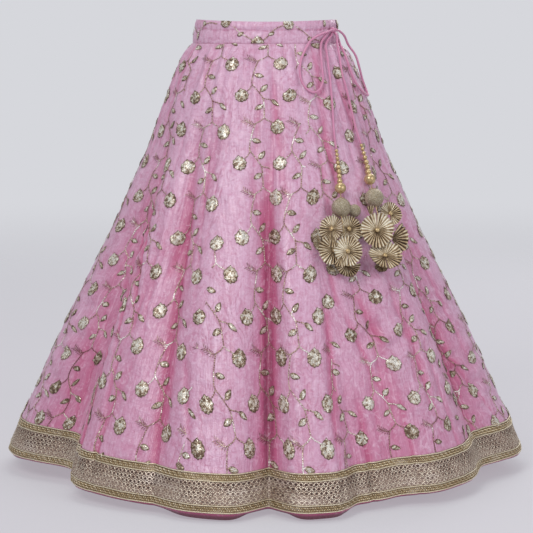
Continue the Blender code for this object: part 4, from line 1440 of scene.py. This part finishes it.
def waistband():
    """Front and back of the band, puckered a little along the channel's stitching.

    Cosines round the waist pucker it. The stitches wander about the channel's height, in a
    groove with the form of a bell, and another bell draws the band in at its foot.
    """
    half_slit = math.degrees(SLIT_WIDTH / 2.0 / BAND_TOP_HALF_WIDTH)
    edge = math.degrees(GAP / 2.0 / BAND_TOP_HALF_WIDTH)
    parts = (
        ("front", SIDE_SEAM + edge, BAND_SLIT - half_slit, 240),
        ("back", BAND_SLIT + half_slit, SIDE_SEAM + 360.0 - edge, 320),
    )
    drops = np.linspace(0.0, BAND_HEIGHT, BAND_GRID_ROWS)
    for name, start, end, columns in parts:
        turn, drop = np.meshgrid(np.linspace(start, end, columns + 1), drops)
        angle = np.radians(turn)
        wander = drop - CHANNEL_HEIGHT - 0.0011 * np.cos(9 * angle) - 0.0006 * np.cos(23 * angle)
        at_seam = np.exp(-(wander / PUCKER_WIDTH) ** 2)
        pucker = (0.00035 * np.cos(64 * angle + 9 * drop / BAND_HEIGHT)
                  + 0.00030 * np.cos(41 * angle + 2.0) + 0.00022 * np.cos(97 * angle + 1.0))
        groove = 0.0013 * np.exp(-(wander / SEAM_WIDTH) ** 2)
        # Painted shadow beside the stitched groove, and painted shade along the foot's groove,
        # lower the band's painted light.
        line = (0.45 * np.exp(-((wander + SEAM_WIDTH / 2) / SEAM_WIDTH) ** 2)
                * (0.7 + 0.3 * np.cos(31 * angle)))
        foot = 0.0008 * np.exp(-((drop - BAND_HEIGHT) / SEAM_WIDTH) ** 2)
        lift = pucker * (0.5 + at_seam) - groove - foot
        normal = normals(band_points, turn, drop)
        points = band_points(turn, drop) + normal * lift[..., None]
        band = put(f"silk_band_{name}", points, grid_faces(len(drops), columns + 1),
                   [SILK, LINING], sheet_uv(points) + (5.0, 0.0),
                   {"crest": 1.0 - line - 0.25 * (foot > 0.0003)},
                   crisp_rim=True)
        settle(wall(band, BAND_WALL), "silk", f"waistband_{name}")


# ---- embroidery ----

# One repeat of the running vine, in millimetres from a fork: across, and down.
REPEAT = 155.0
VINES = (
    ((0, 0), (-8, 8), (-18, 14), (-22, 24), (-25, 36), (-29, 56), (-29, 75), (-24, 82),
     (-13, 96), (-5, 108), (-2, 122), (-1, 138), (0, 155)),
    ((0, 0), (8, 7), (13, 9), (19, 14)),
    ((-29, 77), (-34, 86), (-40, 92)),
    ((-5, 108), (2, 111), (9, 112), (15, 116)),
    ((-29, 52), (-25, 50), (-22, 51)),
    ((-13, 96), (-11, 93), (-9, 90)),
    ((-2, 122), (-4, 125), (-7, 127)),
    ((-18, 14), (-26, 15), (-32, 12), (-42, 6)),
)
BEAD_PITCH = 4.0
BEAD_HALF_WIDTH = 1.75
CHAIN_WAIST = 0.35           # half width of the vine between two beads
FERN = ((-22, 15), (-27, 15), (-32, 12), (-37, 9), (-42, 6))
FERN_PAIRS = 6
FERN_LENGTH = 10.0
FERN_HALF_WIDTH = 0.75
ROSES = (
    # across, down, half width, half height, lean in degrees
    (29.0, 22.0, 16.4, 17.6, 6.0),
    (-51.0, 103.0, 16.2, 16.4, -8.0),
)
LEAVES = (
    # across, down, half length, half width, way it points in degrees, clockwise from right
    (-15.0, 53.0, 10.6, 6.0, 14.0),
    (-3.0, 84.0, 11.0, 6.0, -56.0),
    (22.5, 120.5, 11.6, 5.2, 42.0),
    (-12.5, 131.0, 10.6, 6.2, 148.0),
)
PANEL_WORK = {
    # panel: (first fork, fork to fork, growth of that, columns' places at top, middle, foot)
    1: (-0.038, 0.1482, 0.0004, ((-0.169, -0.169, -0.169), (-0.063, -0.049, -0.057),
                                 (0.050, 0.055, 0.025), (0.153, 0.173, 0.163))),
    2: (0.032, 0.1465, 0.0028, ((-0.200, -0.158, -0.144), (-0.100, -0.056, -0.034),
                                (0.009, 0.055, 0.080), (0.125, 0.165, 0.189))),
    3: (0.032, 0.1340, 0.0058, ((-0.228, -0.215, -0.172), (-0.119, -0.112, -0.056),
                                (0.006, -0.003, 0.045), (0.126, 0.072, 0.136),
                                (0.216, 0.168, 0.236))),
    4: (-0.021, 0.1433, 0.0002, ((-0.116, -0.142, -0.126), (-0.015, -0.031, -0.006),
                                 (0.101, 0.088, 0.089), (0.208, 0.200, 0.206))),
    5: (-0.095, 0.1478, 0.0002, ((-0.112, -0.128, -0.136), (0.001, -0.020, -0.038),
                                 (0.108, 0.099, 0.072), (0.212, 0.200, 0.190))),
}
PLAIN_WORK = (-0.040, 0.150, 0.0, ((-0.162, -0.162, -0.162), (-0.054, -0.054, -0.054),
                                   (0.054, 0.054, 0.054), (0.162, 0.162, 0.162)))


def patch(outline, shares, rises, shades):
    """A domed patch: a middle point and rings that are shares of an outline's reach.

    Outline is (spokes, 2) in millimetres. Each ring has a height and a shade.
    """
    spokes = len(outline)
    points = np.concatenate([np.zeros((1, 2))] + [outline * share for share in shares])
    lift = np.concatenate([[rises[0]]] + [np.full(spokes, rise) for rise in rises[1:]])
    shade = np.concatenate([[shades[0]]] + [shade + np.zeros(spokes) for shade in shades[1:]])
    return points, lift, shade, dome_faces(spokes, len(shares))


def turned_flat(points, degrees):
    """Flat points turned clockwise, as seen with down the page."""
    angle = math.radians(degrees)
    turn = np.array([[math.cos(angle), math.sin(angle)], [-math.sin(angle), math.cos(angle)]])
    return points @ turn


def bell_round(angle, middle, width):
    """A bell curve round a circle, 1 at its middle angle."""
    away = np.mod(angle - middle + math.pi, 2 * math.pi) - math.pi
    return np.exp(-(away / width) ** 2)


def rose(half_width, half_height, lean):
    """A rose: a scalloped oval with a pointed crown, petals marked by their shade."""
    angle = round_angles(24)
    crown = 0.17 * bell_round(angle, -math.pi / 2, 0.22)
    notch = 0.10 * bell_round(angle, -2.15, 0.20)
    reach = 0.93 + 0.030 * np.cos(7 * angle + 0.6) + 0.050 * np.cos(12 * angle) + crown - notch
    outline = np.stack([half_width * reach * np.cos(angle),
                        half_height * reach * np.sin(angle)], axis=-1)
    petals = 0.58 + 0.22 * np.cos(5 * angle + 0.8)
    points, lift, shade, faces = patch(
        turned_flat(outline, lean), (0.24, 0.48, 0.82, 1.0), (1.6, 1.6, 1.4, 1.2, 0.1),
        (1.25, 1.05, petals - 0.06, petals + 0.12, 0.02))
    off_middle = np.r_[1.0, np.repeat([1.0, 0.8, 0.2, 0.0], len(angle))]
    points += off_middle[:, None] * (0.14 * half_width, -0.12 * half_height)
    return points, lift, shade, faces


def leaf(half_length, half_width, way):
    """A leaf: an oval drawn to a point at both ends, sharper at its tip."""
    angle = round_angles(12)
    thin = np.abs(np.sin(angle)) ** 0.35
    outline = np.stack([half_length * np.cos(angle),
                        half_width * np.sin(angle) * thin * (1 - 0.25 * np.cos(angle))],
                       axis=-1)
    return patch(turned_flat(outline, way), (0.58, 1.0), (1.3, 1.1, 0.1), (1.0, 0.74, 0.05))


def square_to(ways):
    """Flat directions a quarter turn from others."""
    return np.stack([-ways[:, 1], ways[:, 0]], axis=-1)


def flat_line(path, count):
    """Even places on a smooth flat line through a path's own, and its direction at each."""
    path = np.asarray(path, float)
    knots = run_of(path)
    at = np.linspace(0.0, knots[-1], count)
    line = np.stack([smooth(at, knots, path[:, i]) for i in range(2)], axis=-1)
    return line, unit(np.gradient(line, axis=0))


def chain(path):
    """A chain of beads along a smooth path: a strip whose width swells at every other row."""
    length = run_of(np.asarray(path, float))[-1]
    count = max(3, round(length / BEAD_PITCH * 2))
    line, ahead = flat_line(path, count)
    half = np.where(np.arange(count) % 2 == 0, BEAD_HALF_WIDTH, CHAIN_WAIST)[:, None]
    aside = square_to(ahead) * half
    points = np.stack([line - aside, line, line + aside], axis=1)
    lift = np.tile([0.1, 0.9, 0.1], count)
    return points.reshape(-1, 2), lift, np.full(3 * count, 0.5), grid_faces(count, 3)


def fern(path):
    """Pairs of small pointed sequins along a short branch, each one a single quad."""
    line, ahead = flat_line(path, FERN_PAIRS)
    points = []
    for side in (-1.0, 1.0):
        way = unit(ahead * 0.8 + square_to(ahead) * side)
        across = square_to(way) * FERN_HALF_WIDTH
        root = line + way * 0.4
        middle = root + way * FERN_LENGTH * 0.5
        points.append(np.stack([root, middle + across, root + way * FERN_LENGTH,
                                middle - across], axis=1))
    points = np.concatenate(points).reshape(-1, 2)
    faces = np.arange(len(points)).reshape(-1, 4)[:, ::-1]
    return points, np.full(len(points), 0.5), np.full(len(points), 0.15), faces


def vine_repeat():
    """One repeat: points in metres, heights, shades, anchors, faces, finishes and kinds.

    A rose's or leaf's points share its middle as their anchor; others are their own.
    A face's kind is its rose's or leaf's number, or -1 on the vine.
    """
    parts = [(chain(path), 1, None, -1) for path in VINES]
    parts += [(fern(FERN), 1, None, -1)]
    for kind, row in enumerate(ROSES + LEAVES):
        make = rose if kind < len(ROSES) else leaf
        parts.append((make(*row[2:]), 0, row[:2], kind))
    start = 0
    gathered = []
    for (points, lift, shade, faces), finish, place, kind in parts:
        if facing(points, faces) < 0:
            faces = faces[:, ::-1]
        if place is not None:
            points = points + place
        anchors = points if place is None else points * 0.0 + place
        gathered.append((points / 1000.0, lift / 1000.0, shade, anchors / 1000.0,
                         faces + start, np.full(len(faces), finish),
                         np.full(len(faces), kind)))
        start += len(points)
    return [np.concatenate(column) for column in zip(*gathered)]


def facing(points, faces):
    """Sign of the area of faces on a flat cut: positive where they face out of it."""
    a, b, c = (points[faces[:, i]] for i in (0, 1, 2))
    cross = (b - a)[:, 0] * (c - a)[:, 1] - (b - a)[:, 1] * (c - a)[:, 0]
    return -np.sign(np.median(cross))


SEAM_SPARE = 4.5             # degrees of turn that a whole rose may reach past a seam
SEAM_SLACK = 0.009           # how far past a seam a rose's or leaf's middle may be
BAND_SLACK = 0.010           # how far above the waistband's seam it may be
BORDER_SLACK = 0.006         # by how much of a fall it may be under the border
ELBOW_ROOM = 0.036           # between two roses' middles, and seven tenths of it to a leaf's
TUCKED = 0.012               # by how much of a fall the work goes on under the border
BAND_BARE = 0.003            # work that ends sooner than this below the seam is left out
REPEATS = np.arange(-1, 8)   # down each column, from one above the first fork
CUT_FALLS = np.linspace(0.0, 1.0, 201)
CUT_PLACES = np.linspace(-0.30, 0.30, 241)
CUT_TURNS = 91
MOTIF_PLACES = np.array([row[:2] for row in ROSES + LEAVES]) / 1000.0


class FlatCut:
    """A panel's flat cut: the turn for metres across, at each of many falls."""

    def __init__(self, centre):
        half = PANEL_TURN / 2 + SEAM_SPARE
        turns = centre + np.linspace(-half, half, CUT_TURNS)
        turn, fall = np.meshgrid(turns, CUT_FALLS)
        points = skirt_points(turn, fall, small=False)
        rows = sheet_uv(points)[..., 0]
        self.down = run_of(points[:, len(turns) // 2])
        self.turn_at = np.stack([np.interp(CUT_PLACES, row, turns) for row in rows])
        self.left, self.right = (
            np.array([np.interp(centre + side * PANEL_TURN / 2, turns, row) for row in rows])
            for side in (-1, 1))

    def laid(self, x, y):
        """Turn and fall for places on the cut."""
        fall = np.interp(y, self.down, CUT_FALLS)
        row = fall * (len(CUT_FALLS) - 1)
        column = np.clip((x - CUT_PLACES[0]) / (CUT_PLACES[1] - CUT_PLACES[0]), 0.0,
                         len(CUT_PLACES) - 1.001)
        r = np.clip(row.astype(int), 0, len(CUT_FALLS) - 2)
        c = column.astype(int)
        u, v = column - c, row - r
        turn_at = self.turn_at
        turn = ((turn_at[r, c] * (1 - u) + turn_at[r, c + 1] * u) * (1 - v)
                + (turn_at[r + 1, c] * (1 - u) + turn_at[r + 1, c + 1] * u) * v)
        return turn, fall

    def past_seam(self, x, y):
        """How far places on the cut are past the nearer seam; negative inside it."""
        fall = np.interp(y, self.down, CUT_FALLS)
        return np.maximum(np.interp(fall, CUT_FALLS, self.left) - x,
                          x - np.interp(fall, CUT_FALLS, self.right))


def column_place(columns, y):
    """A column's place across at a distance down: a parabola through its three places."""
    top, middle, foot = columns
    share = np.clip(y / CLOTH_LENGTH, -0.2, 1.2)
    return (top * (1 - share) * (1 - 2 * share) + middle * 4 * share * (1 - share)
            + foot * share * (2 * share - 1))


def uncrowded(middles, inside, taken):
    """Which roses and leaves to sew, in order: those inside, and not too near another.

    Middles is (kinds, copies, 3), roses first. Taken lists (middle, reach) sewn so far.
    """
    sewn = np.zeros(inside.shape, bool)
    for kind, copy in np.argwhere(inside):
        reach = ELBOW_ROOM / (2.0 if kind < len(ROSES) else 5.0)
        middle = middles[kind, copy]
        apart = [np.linalg.norm(middle - other) - reach - other_reach
                 for other, other_reach in taken]
        if min(apart, default=1.0) > 0.0:
            sewn[kind, copy] = True
            taken.append((middle, reach))
    return sewn


def in_columns(places, work):
    """Places of one repeat, again for each repeat down each of a panel's columns."""
    first, pitch, growth, columns = work
    steps = REPEATS[:, None] + places[:, 1] * 1000.0 / REPEAT
    y = first + pitch * steps + growth * steps ** 2
    return np.concatenate([np.stack([column_place(column, y) + places[:, 0], y], axis=-1)
                           for column in columns])


def sewn_motifs(cut, work, taken):
    """Which roses and leaves a panel has: those inside it that have elbow room."""
    x, y = in_columns(MOTIF_PLACES, work).transpose(2, 1, 0)
    turn, fall = cut.laid(x, np.clip(y, 0.0, 1.0))
    inside = ((cut.past_seam(x, y) < SEAM_SLACK)
              & (y > -BAND_SLACK) & (fall < border_falls()[0] + BORDER_SLACK))
    return uncrowded(skirt_points(turn, fall, small=False), inside, taken)


def panel_embroidery(number, repeat, taken):
    """One panel's vines, roses and leaves, raised off its cloth."""
    points, lift, shade, anchors, faces, finish, kinds = repeat
    work = PANEL_WORK.get(number, PLAIN_WORK)
    cut = FlatCut(FIRST_SEAM + (number - 0.5) * PANEL_TURN)
    draw = np.random.default_rng(number)
    border_top = border_falls()[0]
    x, y = in_columns(points, work).reshape(-1, 2).T
    count = len(x) // len(points)
    sewn = sewn_motifs(cut, work, taken)
    shades = shade + (shade > 0.05) * (draw.normal(0.0, 0.14, (count, 1))
                                       + draw.normal(0.0, 0.16, (count, len(shade))))
    turn, fall = cut.laid(x, y)
    past = cut.past_seam(*in_columns(anchors, work).reshape(-1, 2).T)
    every = copies(faces, len(points), count)
    part = np.tile(finish, count)
    kind = np.tile(kinds, count)
    keep = np.where(kind < 0, past[every].max(axis=1) < 0.0,
                    sewn[kind, np.repeat(np.arange(count), len(faces))])
    keep &= ((fall[every] < border_top).any(axis=1)
             & (fall[every] < border_top + TUCKED).all(axis=1)
             & (y[every] > BAND_BARE).any(axis=1))
    used, every = np.unique(every[keep], return_inverse=True)
    turn, fall = turn[used], fall[used]
    raised = np.tile(lift, count)[used] + RIM_CLEAR
    out = normals(skirt_points, turn, np.clip(fall, 0.002, 0.997))
    uv = np.stack([x[used] + number, y[used]], axis=-1)
    embroidered = put(f"embroidery_{number:02d}",
                      skirt_points(turn, fall) + out * raised[:, None],
                      every.reshape(-1, 4), [SEQUIN, VINE], uv,
                      {"inside": shades.ravel()[used]}, part[keep])
    settle(embroidered, "gold_trim")


def embroidery():
    """The running vine in columns down each panel, ended at the seams and the border.

    Each repeat's distance down and each column's distance across are put on the cloth by
    the panel's flat cut. A rose or leaf is left out where another is in its way.
    """
    repeat = vine_repeat()
    taken = []
    for number in range(1, PANELS + 1):
        panel_embroidery(number, repeat, taken)


BAND_MOTIFS = (
    # turn, drop, half width or length, half height or width, lean or way, rose or leaf
    (-34.0, 0.0015, 15.0, 15.0, 0.0, 1),
    (18.0, 0.0060, 13.5, 14.5, 4.0, 1),
    (-6.5, 0.0500, 15.0, 15.5, 0.0, 1),
    (-67.0, 0.0360, 9.0, 5.6, 100.0, 0),
    (-58.0, 0.0080, 8.5, 4.6, 20.0, 0),
    (-20.0, 0.0300, 8.5, 4.8, -30.0, 0),
    (4.0, 0.0290, 8.0, 4.4, 150.0, 0),
    (36.0, 0.0430, 8.6, 4.8, 25.0, 0),
    (54.0, 0.0080, 8.6, 5.0, 120.0, 0),
)
BAND_BACK_TURNS = (84.0, 124.0, 163.0, 203.0, 242.0)
BAND_MARGIN = 0.0006         # of bare cloth along the waistband's edges
BAND_CLEAR = 0.0014          # height of the work's base off the band
BAND_VINES = (
    # places as (turn, drop in millimetres)
    ((-88, 16), (-78, 20), (-70, 28), (-64, 22), (-57, 10), (-50, 6), (-42, 8)),
    ((-3, 46), (1, 36), (4, 26), (8, 16), (13, 10)),
    ((24, 12), (30, 24), (35, 36), (42, 44), (50, 47)),
    ((-26, 12), (-22, 24), (-16, 34), (-11, 42)),
)


def band_work():
    """Roses, leaves and vines on the waistband, cut off at its edges."""
    metre_turn = math.degrees(1.0 / BAND_FOOT_HALF_WIDTH)
    roses = [(turn, 0.012 + 0.026 * (k % 2), 14.0, 14.5, 5.0 * k, 1)
             for k, turn in enumerate(BAND_BACK_TURNS)]
    leaves = [(turn + 19.0, 0.036 - 0.024 * (k % 2), 8.8, 4.8, 40.0 * k, 0)
              for k, turn in enumerate(BAND_BACK_TURNS)]
    vines = BAND_VINES + tuple(
        tuple((turn + 3 + 4 * k, 22 + 12 * math.sin(0.9 * k + turn)) for k in range(8))
        for turn in BAND_BACK_TURNS)
    shapes = []
    for turn, drop, half, other, lean, is_rose in (*BAND_MOTIFS, *roses, *leaves):
        made = (rose if is_rose else leaf)(half, other, lean)
        shapes.append((made, 0, (turn, drop)))
    for path in vines:
        flat = np.array([(turn / metre_turn * 1000.0, drop) for turn, drop in path])
        shapes.append((chain(flat), 1, (0.0, 0.0)))
    start = 0
    gathered = []
    for (points, lift, shade, faces), finish, (turn, drop) in shapes:
        faces = faces[:, ::-1] if facing(points, faces) < 0 and finish == 0 else faces
        across = turn + points[:, 0] / 1000.0 * metre_turn
        gathered.append((across, drop + points[:, 1] / 1000.0, lift / 1000.0, shade,
                         faces + start, np.full(len(faces), finish)))
        start += len(points)
    turn, drop, lift, shade, faces, finish = (np.concatenate(c) for c in zip(*gathered))
    low, high = BAND_MARGIN, BAND_HEIGHT - BAND_MARGIN
    keep = ((drop[faces] > low) & (drop[faces] < high)).any(axis=1)
    faces, finish = faces[keep], finish[keep]
    used, faces = np.unique(faces, return_inverse=True)
    turn, drop = turn[used], np.clip(drop[used], low, high)
    out = normals(band_points, turn, drop)
    points = band_points(turn, drop) + out * (lift[used] + BAND_CLEAR)[:, None]
    draw = np.random.default_rng(40)
    inside = shade[used] + draw.normal(0.0, 0.14, len(used)) * (shade[used] > 0.05)
    uv = np.stack([turn / metre_turn, drop], axis=-1)
    work = put("embroidery_band", points, faces.reshape(-1, 4), [SEQUIN, VINE], uv,
               {"inside": inside}, finish)
    settle(work, "gold_trim")


# ---- hem border ----

def border_points(turn, fall, lift):
    """Points at a height over the cloth near the hem."""
    base = skirt_points(turn, fall)
    normal = normals(skirt_points, turn, np.minimum(fall, 0.997))
    return base + normal * np.asarray(lift)[..., None]


BORDER_COLUMNS = 720
STRIP_LIFT = 0.0012          # of a strip's face off the silk
STRIP_WALL = 0.0008
STRIP_OPENING = 0.02         # degrees by which a strip's two ends are apart
HEM_CORD = 0.0013            # radius of the cord along each edge of a braid
HEM_CORD_LIFT = 0.0020       # of its middle off the silk
HEM_CORD_INSET = 0.0016      # of its middle from the braid's edge
HEM_CORD_STEP = 0.25         # degrees
HEM_CORD_SIDES = 6
HEM_CORD_TWIST = 0.12        # share by which its strands swell
STITCH_SIDES = 8
STITCH_PITCH = 0.0052
STITCH_HALF_LENGTH = 0.0026
STITCH_HALF_WIDTH = 0.0021
STITCH_HEIGHT = 0.0017
STITCH_LEAN = 0.5            # radians
STITCH_SEAT = 0.0011         # of a stitch's foot off the silk
STITCH_PATTERN = 0.01        # metres of pattern for a degree round the hem
CORD_PATTERN = 0.0087        # the same for the hem's cords
HEM_HALF_WIDTH = 0.565
RING_RINGS = (
    # reach from a net ring's middle, height off the silk, shade
    (0.0054, 0.0009, 0.30), (0.0041, 0.0019, 0.78), (0.0025, 0.0009, 0.30),
)
RING_SIDES = 10
NET_ROWS = 5
NET_PITCH = 0.0098


def border_strip(name, top, foot, rows, finish, node, low_height=0.3):
    """A woven strip laid on the panels, with a thin wall. Its shade runs down it."""
    turns = FIRST_SEAM + np.linspace(0.0, 360.0, BORDER_COLUMNS + 1)
    turns[-1] -= STRIP_OPENING
    turn, fall = np.meshgrid(turns, np.linspace(top, foot, rows))
    points = border_points(turn, fall, STRIP_LIFT + 0.0 * turn)
    strip = put(name, points, grid_faces(rows, BORDER_COLUMNS + 1), [finish, finish],
                sheet_uv(points),
                {"height": np.linspace(0.14, low_height, rows)[:, None] + 0.0 * turn},
                crisp_rim=True)
    settle(wall(strip, STRIP_WALL), "gold_trim", node)
    return strip, flat_size(points)


def hem_cord(fall):
    """A thin twisted cord all round the hem at one fall: its swelling winds round it."""
    turns = FIRST_SEAM + np.arange(0.0, 360.0, HEM_CORD_STEP)
    falls = np.full(len(turns), fall)
    path = border_points(turns, falls, np.full(len(turns), HEM_CORD_LIFT))
    out = normals(skirt_points, turns, falls)
    around = round_angles(HEM_CORD_SIDES)
    run = np.arange(len(turns))[:, None]
    swell = 1.0 + HEM_CORD_TWIST * np.cos(run * 2 * math.pi / 3.0 + around)
    rounds = round_profile(1.0, HEM_CORD_SIDES)[None] * (HEM_CORD * swell)[..., None]
    points = swept(path, out, rounds, closed=True)
    uv = np.stack(np.broadcast_arrays(run * HEM_CORD_STEP * CORD_PATTERN,
                                      around / 7 / HEM_CORD_SIDES), axis=-1)
    return points, grid_faces(len(turns), HEM_CORD_SIDES, True, True), uv


def domes(count, lean):
    """Small oval domes: a middle point, a ring more than half way out and a rim.

    Each ring point lies at cos and sin of its angle times the half sizes, turned by lean.
    """
    share = np.repeat((0.0, 0.62, 1.0), (1, STITCH_SIDES, STITCH_SIDES))
    rise = np.repeat((1.0, 0.72, 0.0), (1, STITCH_SIDES, STITCH_SIDES))
    angle = np.r_[0.0, round_angles(STITCH_SIDES), round_angles(STITCH_SIDES)]
    across = STITCH_HALF_LENGTH * (share * np.cos(angle))
    down = STITCH_HALF_WIDTH * (share * np.sin(angle))
    x = across * math.cos(lean) - down * math.sin(lean)
    y = across * math.sin(lean) + down * math.cos(lean)
    return [np.tile(row, (count, 1)) for row in (x, y, rise * STITCH_HEIGHT + STITCH_SEAT)]


def on_hem(x, y, turn, fall, lift):
    """Points from metres across and down about a place near the hem."""
    radius = HEM_HALF_WIDTH - DEPTH_LESS * np.cos(np.radians(turn)) ** 2
    turns = turn[:, None] + np.degrees(x / radius[:, None])
    return border_points(turns, fall[:, None] + y / FALL_LENGTH, lift)


def stitches(fall, lean, start=0.0):
    """A row of raised stitches all round at one fall."""
    count = round(2 * math.pi * HEM_RADIUS / STITCH_PITCH)
    turn = FIRST_SEAM + (np.arange(count) + start) * 360.0 / count
    x, y, lift = domes(count, lean)
    points = on_hem(x, y, turn, np.full(count, fall), lift)
    faces = copies(dome_faces(STITCH_SIDES, 2)[:, ::-1], 1 + 2 * STITCH_SIDES, count)
    uv = np.stack([x + turn[:, None] * STITCH_PATTERN, y + fall], axis=-1)
    return points, faces, uv


def ring_net(top, foot):
    """The net: rings in staggered rows, each a low round of thread, with painted sheen lower
    down.
    """
    count = round(2 * math.pi * HEM_RADIUS / NET_PITCH)
    rows = np.arange(NET_ROWS)[:, None]
    turn = FIRST_SEAM + (np.arange(count)[None] + 0.5 * (rows % 2)) * (360.0 / count)
    fall = top + (foot - top) * (rows + 0.5) / NET_ROWS + 0.0 * turn
    turn, fall = turn.ravel(), fall.ravel()
    reach, height, shade = (np.repeat(column, RING_SIDES) for column in zip(*RING_RINGS))
    angle = np.tile(round_angles(RING_SIDES), len(RING_RINGS))
    every = 0.0 * turn[:, None]
    x = reach * np.cos(angle) + every
    y = reach * np.sin(angle) * 0.96 + every
    points = on_hem(x, y, turn, fall, height + every)
    ring = grid_faces(len(RING_RINGS), RING_SIDES, False, True)
    faces = copies(ring, len(angle), len(turn))
    uv = np.stack([x + turn[:, None] * STITCH_PATTERN, y + fall[:, None]], axis=-1)
    # Painted sheen: the rings are lighter towards the foot.
    lower = (fall[:, None] - top) / (foot - top)
    draw = np.random.default_rng(12)
    uneven = draw.normal(0.0, 0.16, (len(turn), len(angle)))
    return points, faces[:, ::-1], uv, (shade + 0.12 * lower + uneven).ravel()


def border():
    """Upper braid, net and lower braid, each a strip with thread work on it."""
    top, under_upper, over_lower, foot = border_falls()
    seam = GAP / 2.0 / (TOP_LEVEL - HEM_LEVEL)
    inset = HEM_CORD_INSET / FALL_LENGTH
    for name, start, end in (("upper", top, under_upper - seam),
                             ("lower", over_lower + seam, foot)):
        strip, (width, length, area) = border_strip(f"braid_{name}", start, end, 5, BRAID,
                                                    f"border_{name}_braid")
        height = end - start
        shapes = [
            hem_cord(start + inset),
            hem_cord(end - inset),
            stitches(start + 0.36 * height, STITCH_LEAN),
            stitches(start + 0.64 * height, -STITCH_LEAN, 0.5),
        ]
        shade = [np.full(shape[0].size // 3, value)
                 for shape, value in zip(shapes, (0.9, 0.9, 0.62, 0.62))]
        points, faces, uv = joined(shapes)
        work = put(f"braid_{name}_work", points, faces, [BRAID], uv,
                   {"height": np.concatenate(shade)})
        settle(work, "gold_trim")
    strip, (width, length, area) = border_strip("net_band", under_upper + seam,
                                                over_lower - seam, 9, NET, "border_net", 1.0)
    points, faces, uv, shade = ring_net(under_upper, over_lower)
    rings = settle(put("net_rings", points, faces, [RING], uv, {"height": shade}),
                   "gold_trim")


# ---- everything, cords first ----

camera()
piping = drawstring()
knot()
tassels()
declare_drawstring(piping)
floor()
lights()
waistband()
panels()
embroidery()
band_work()
border()
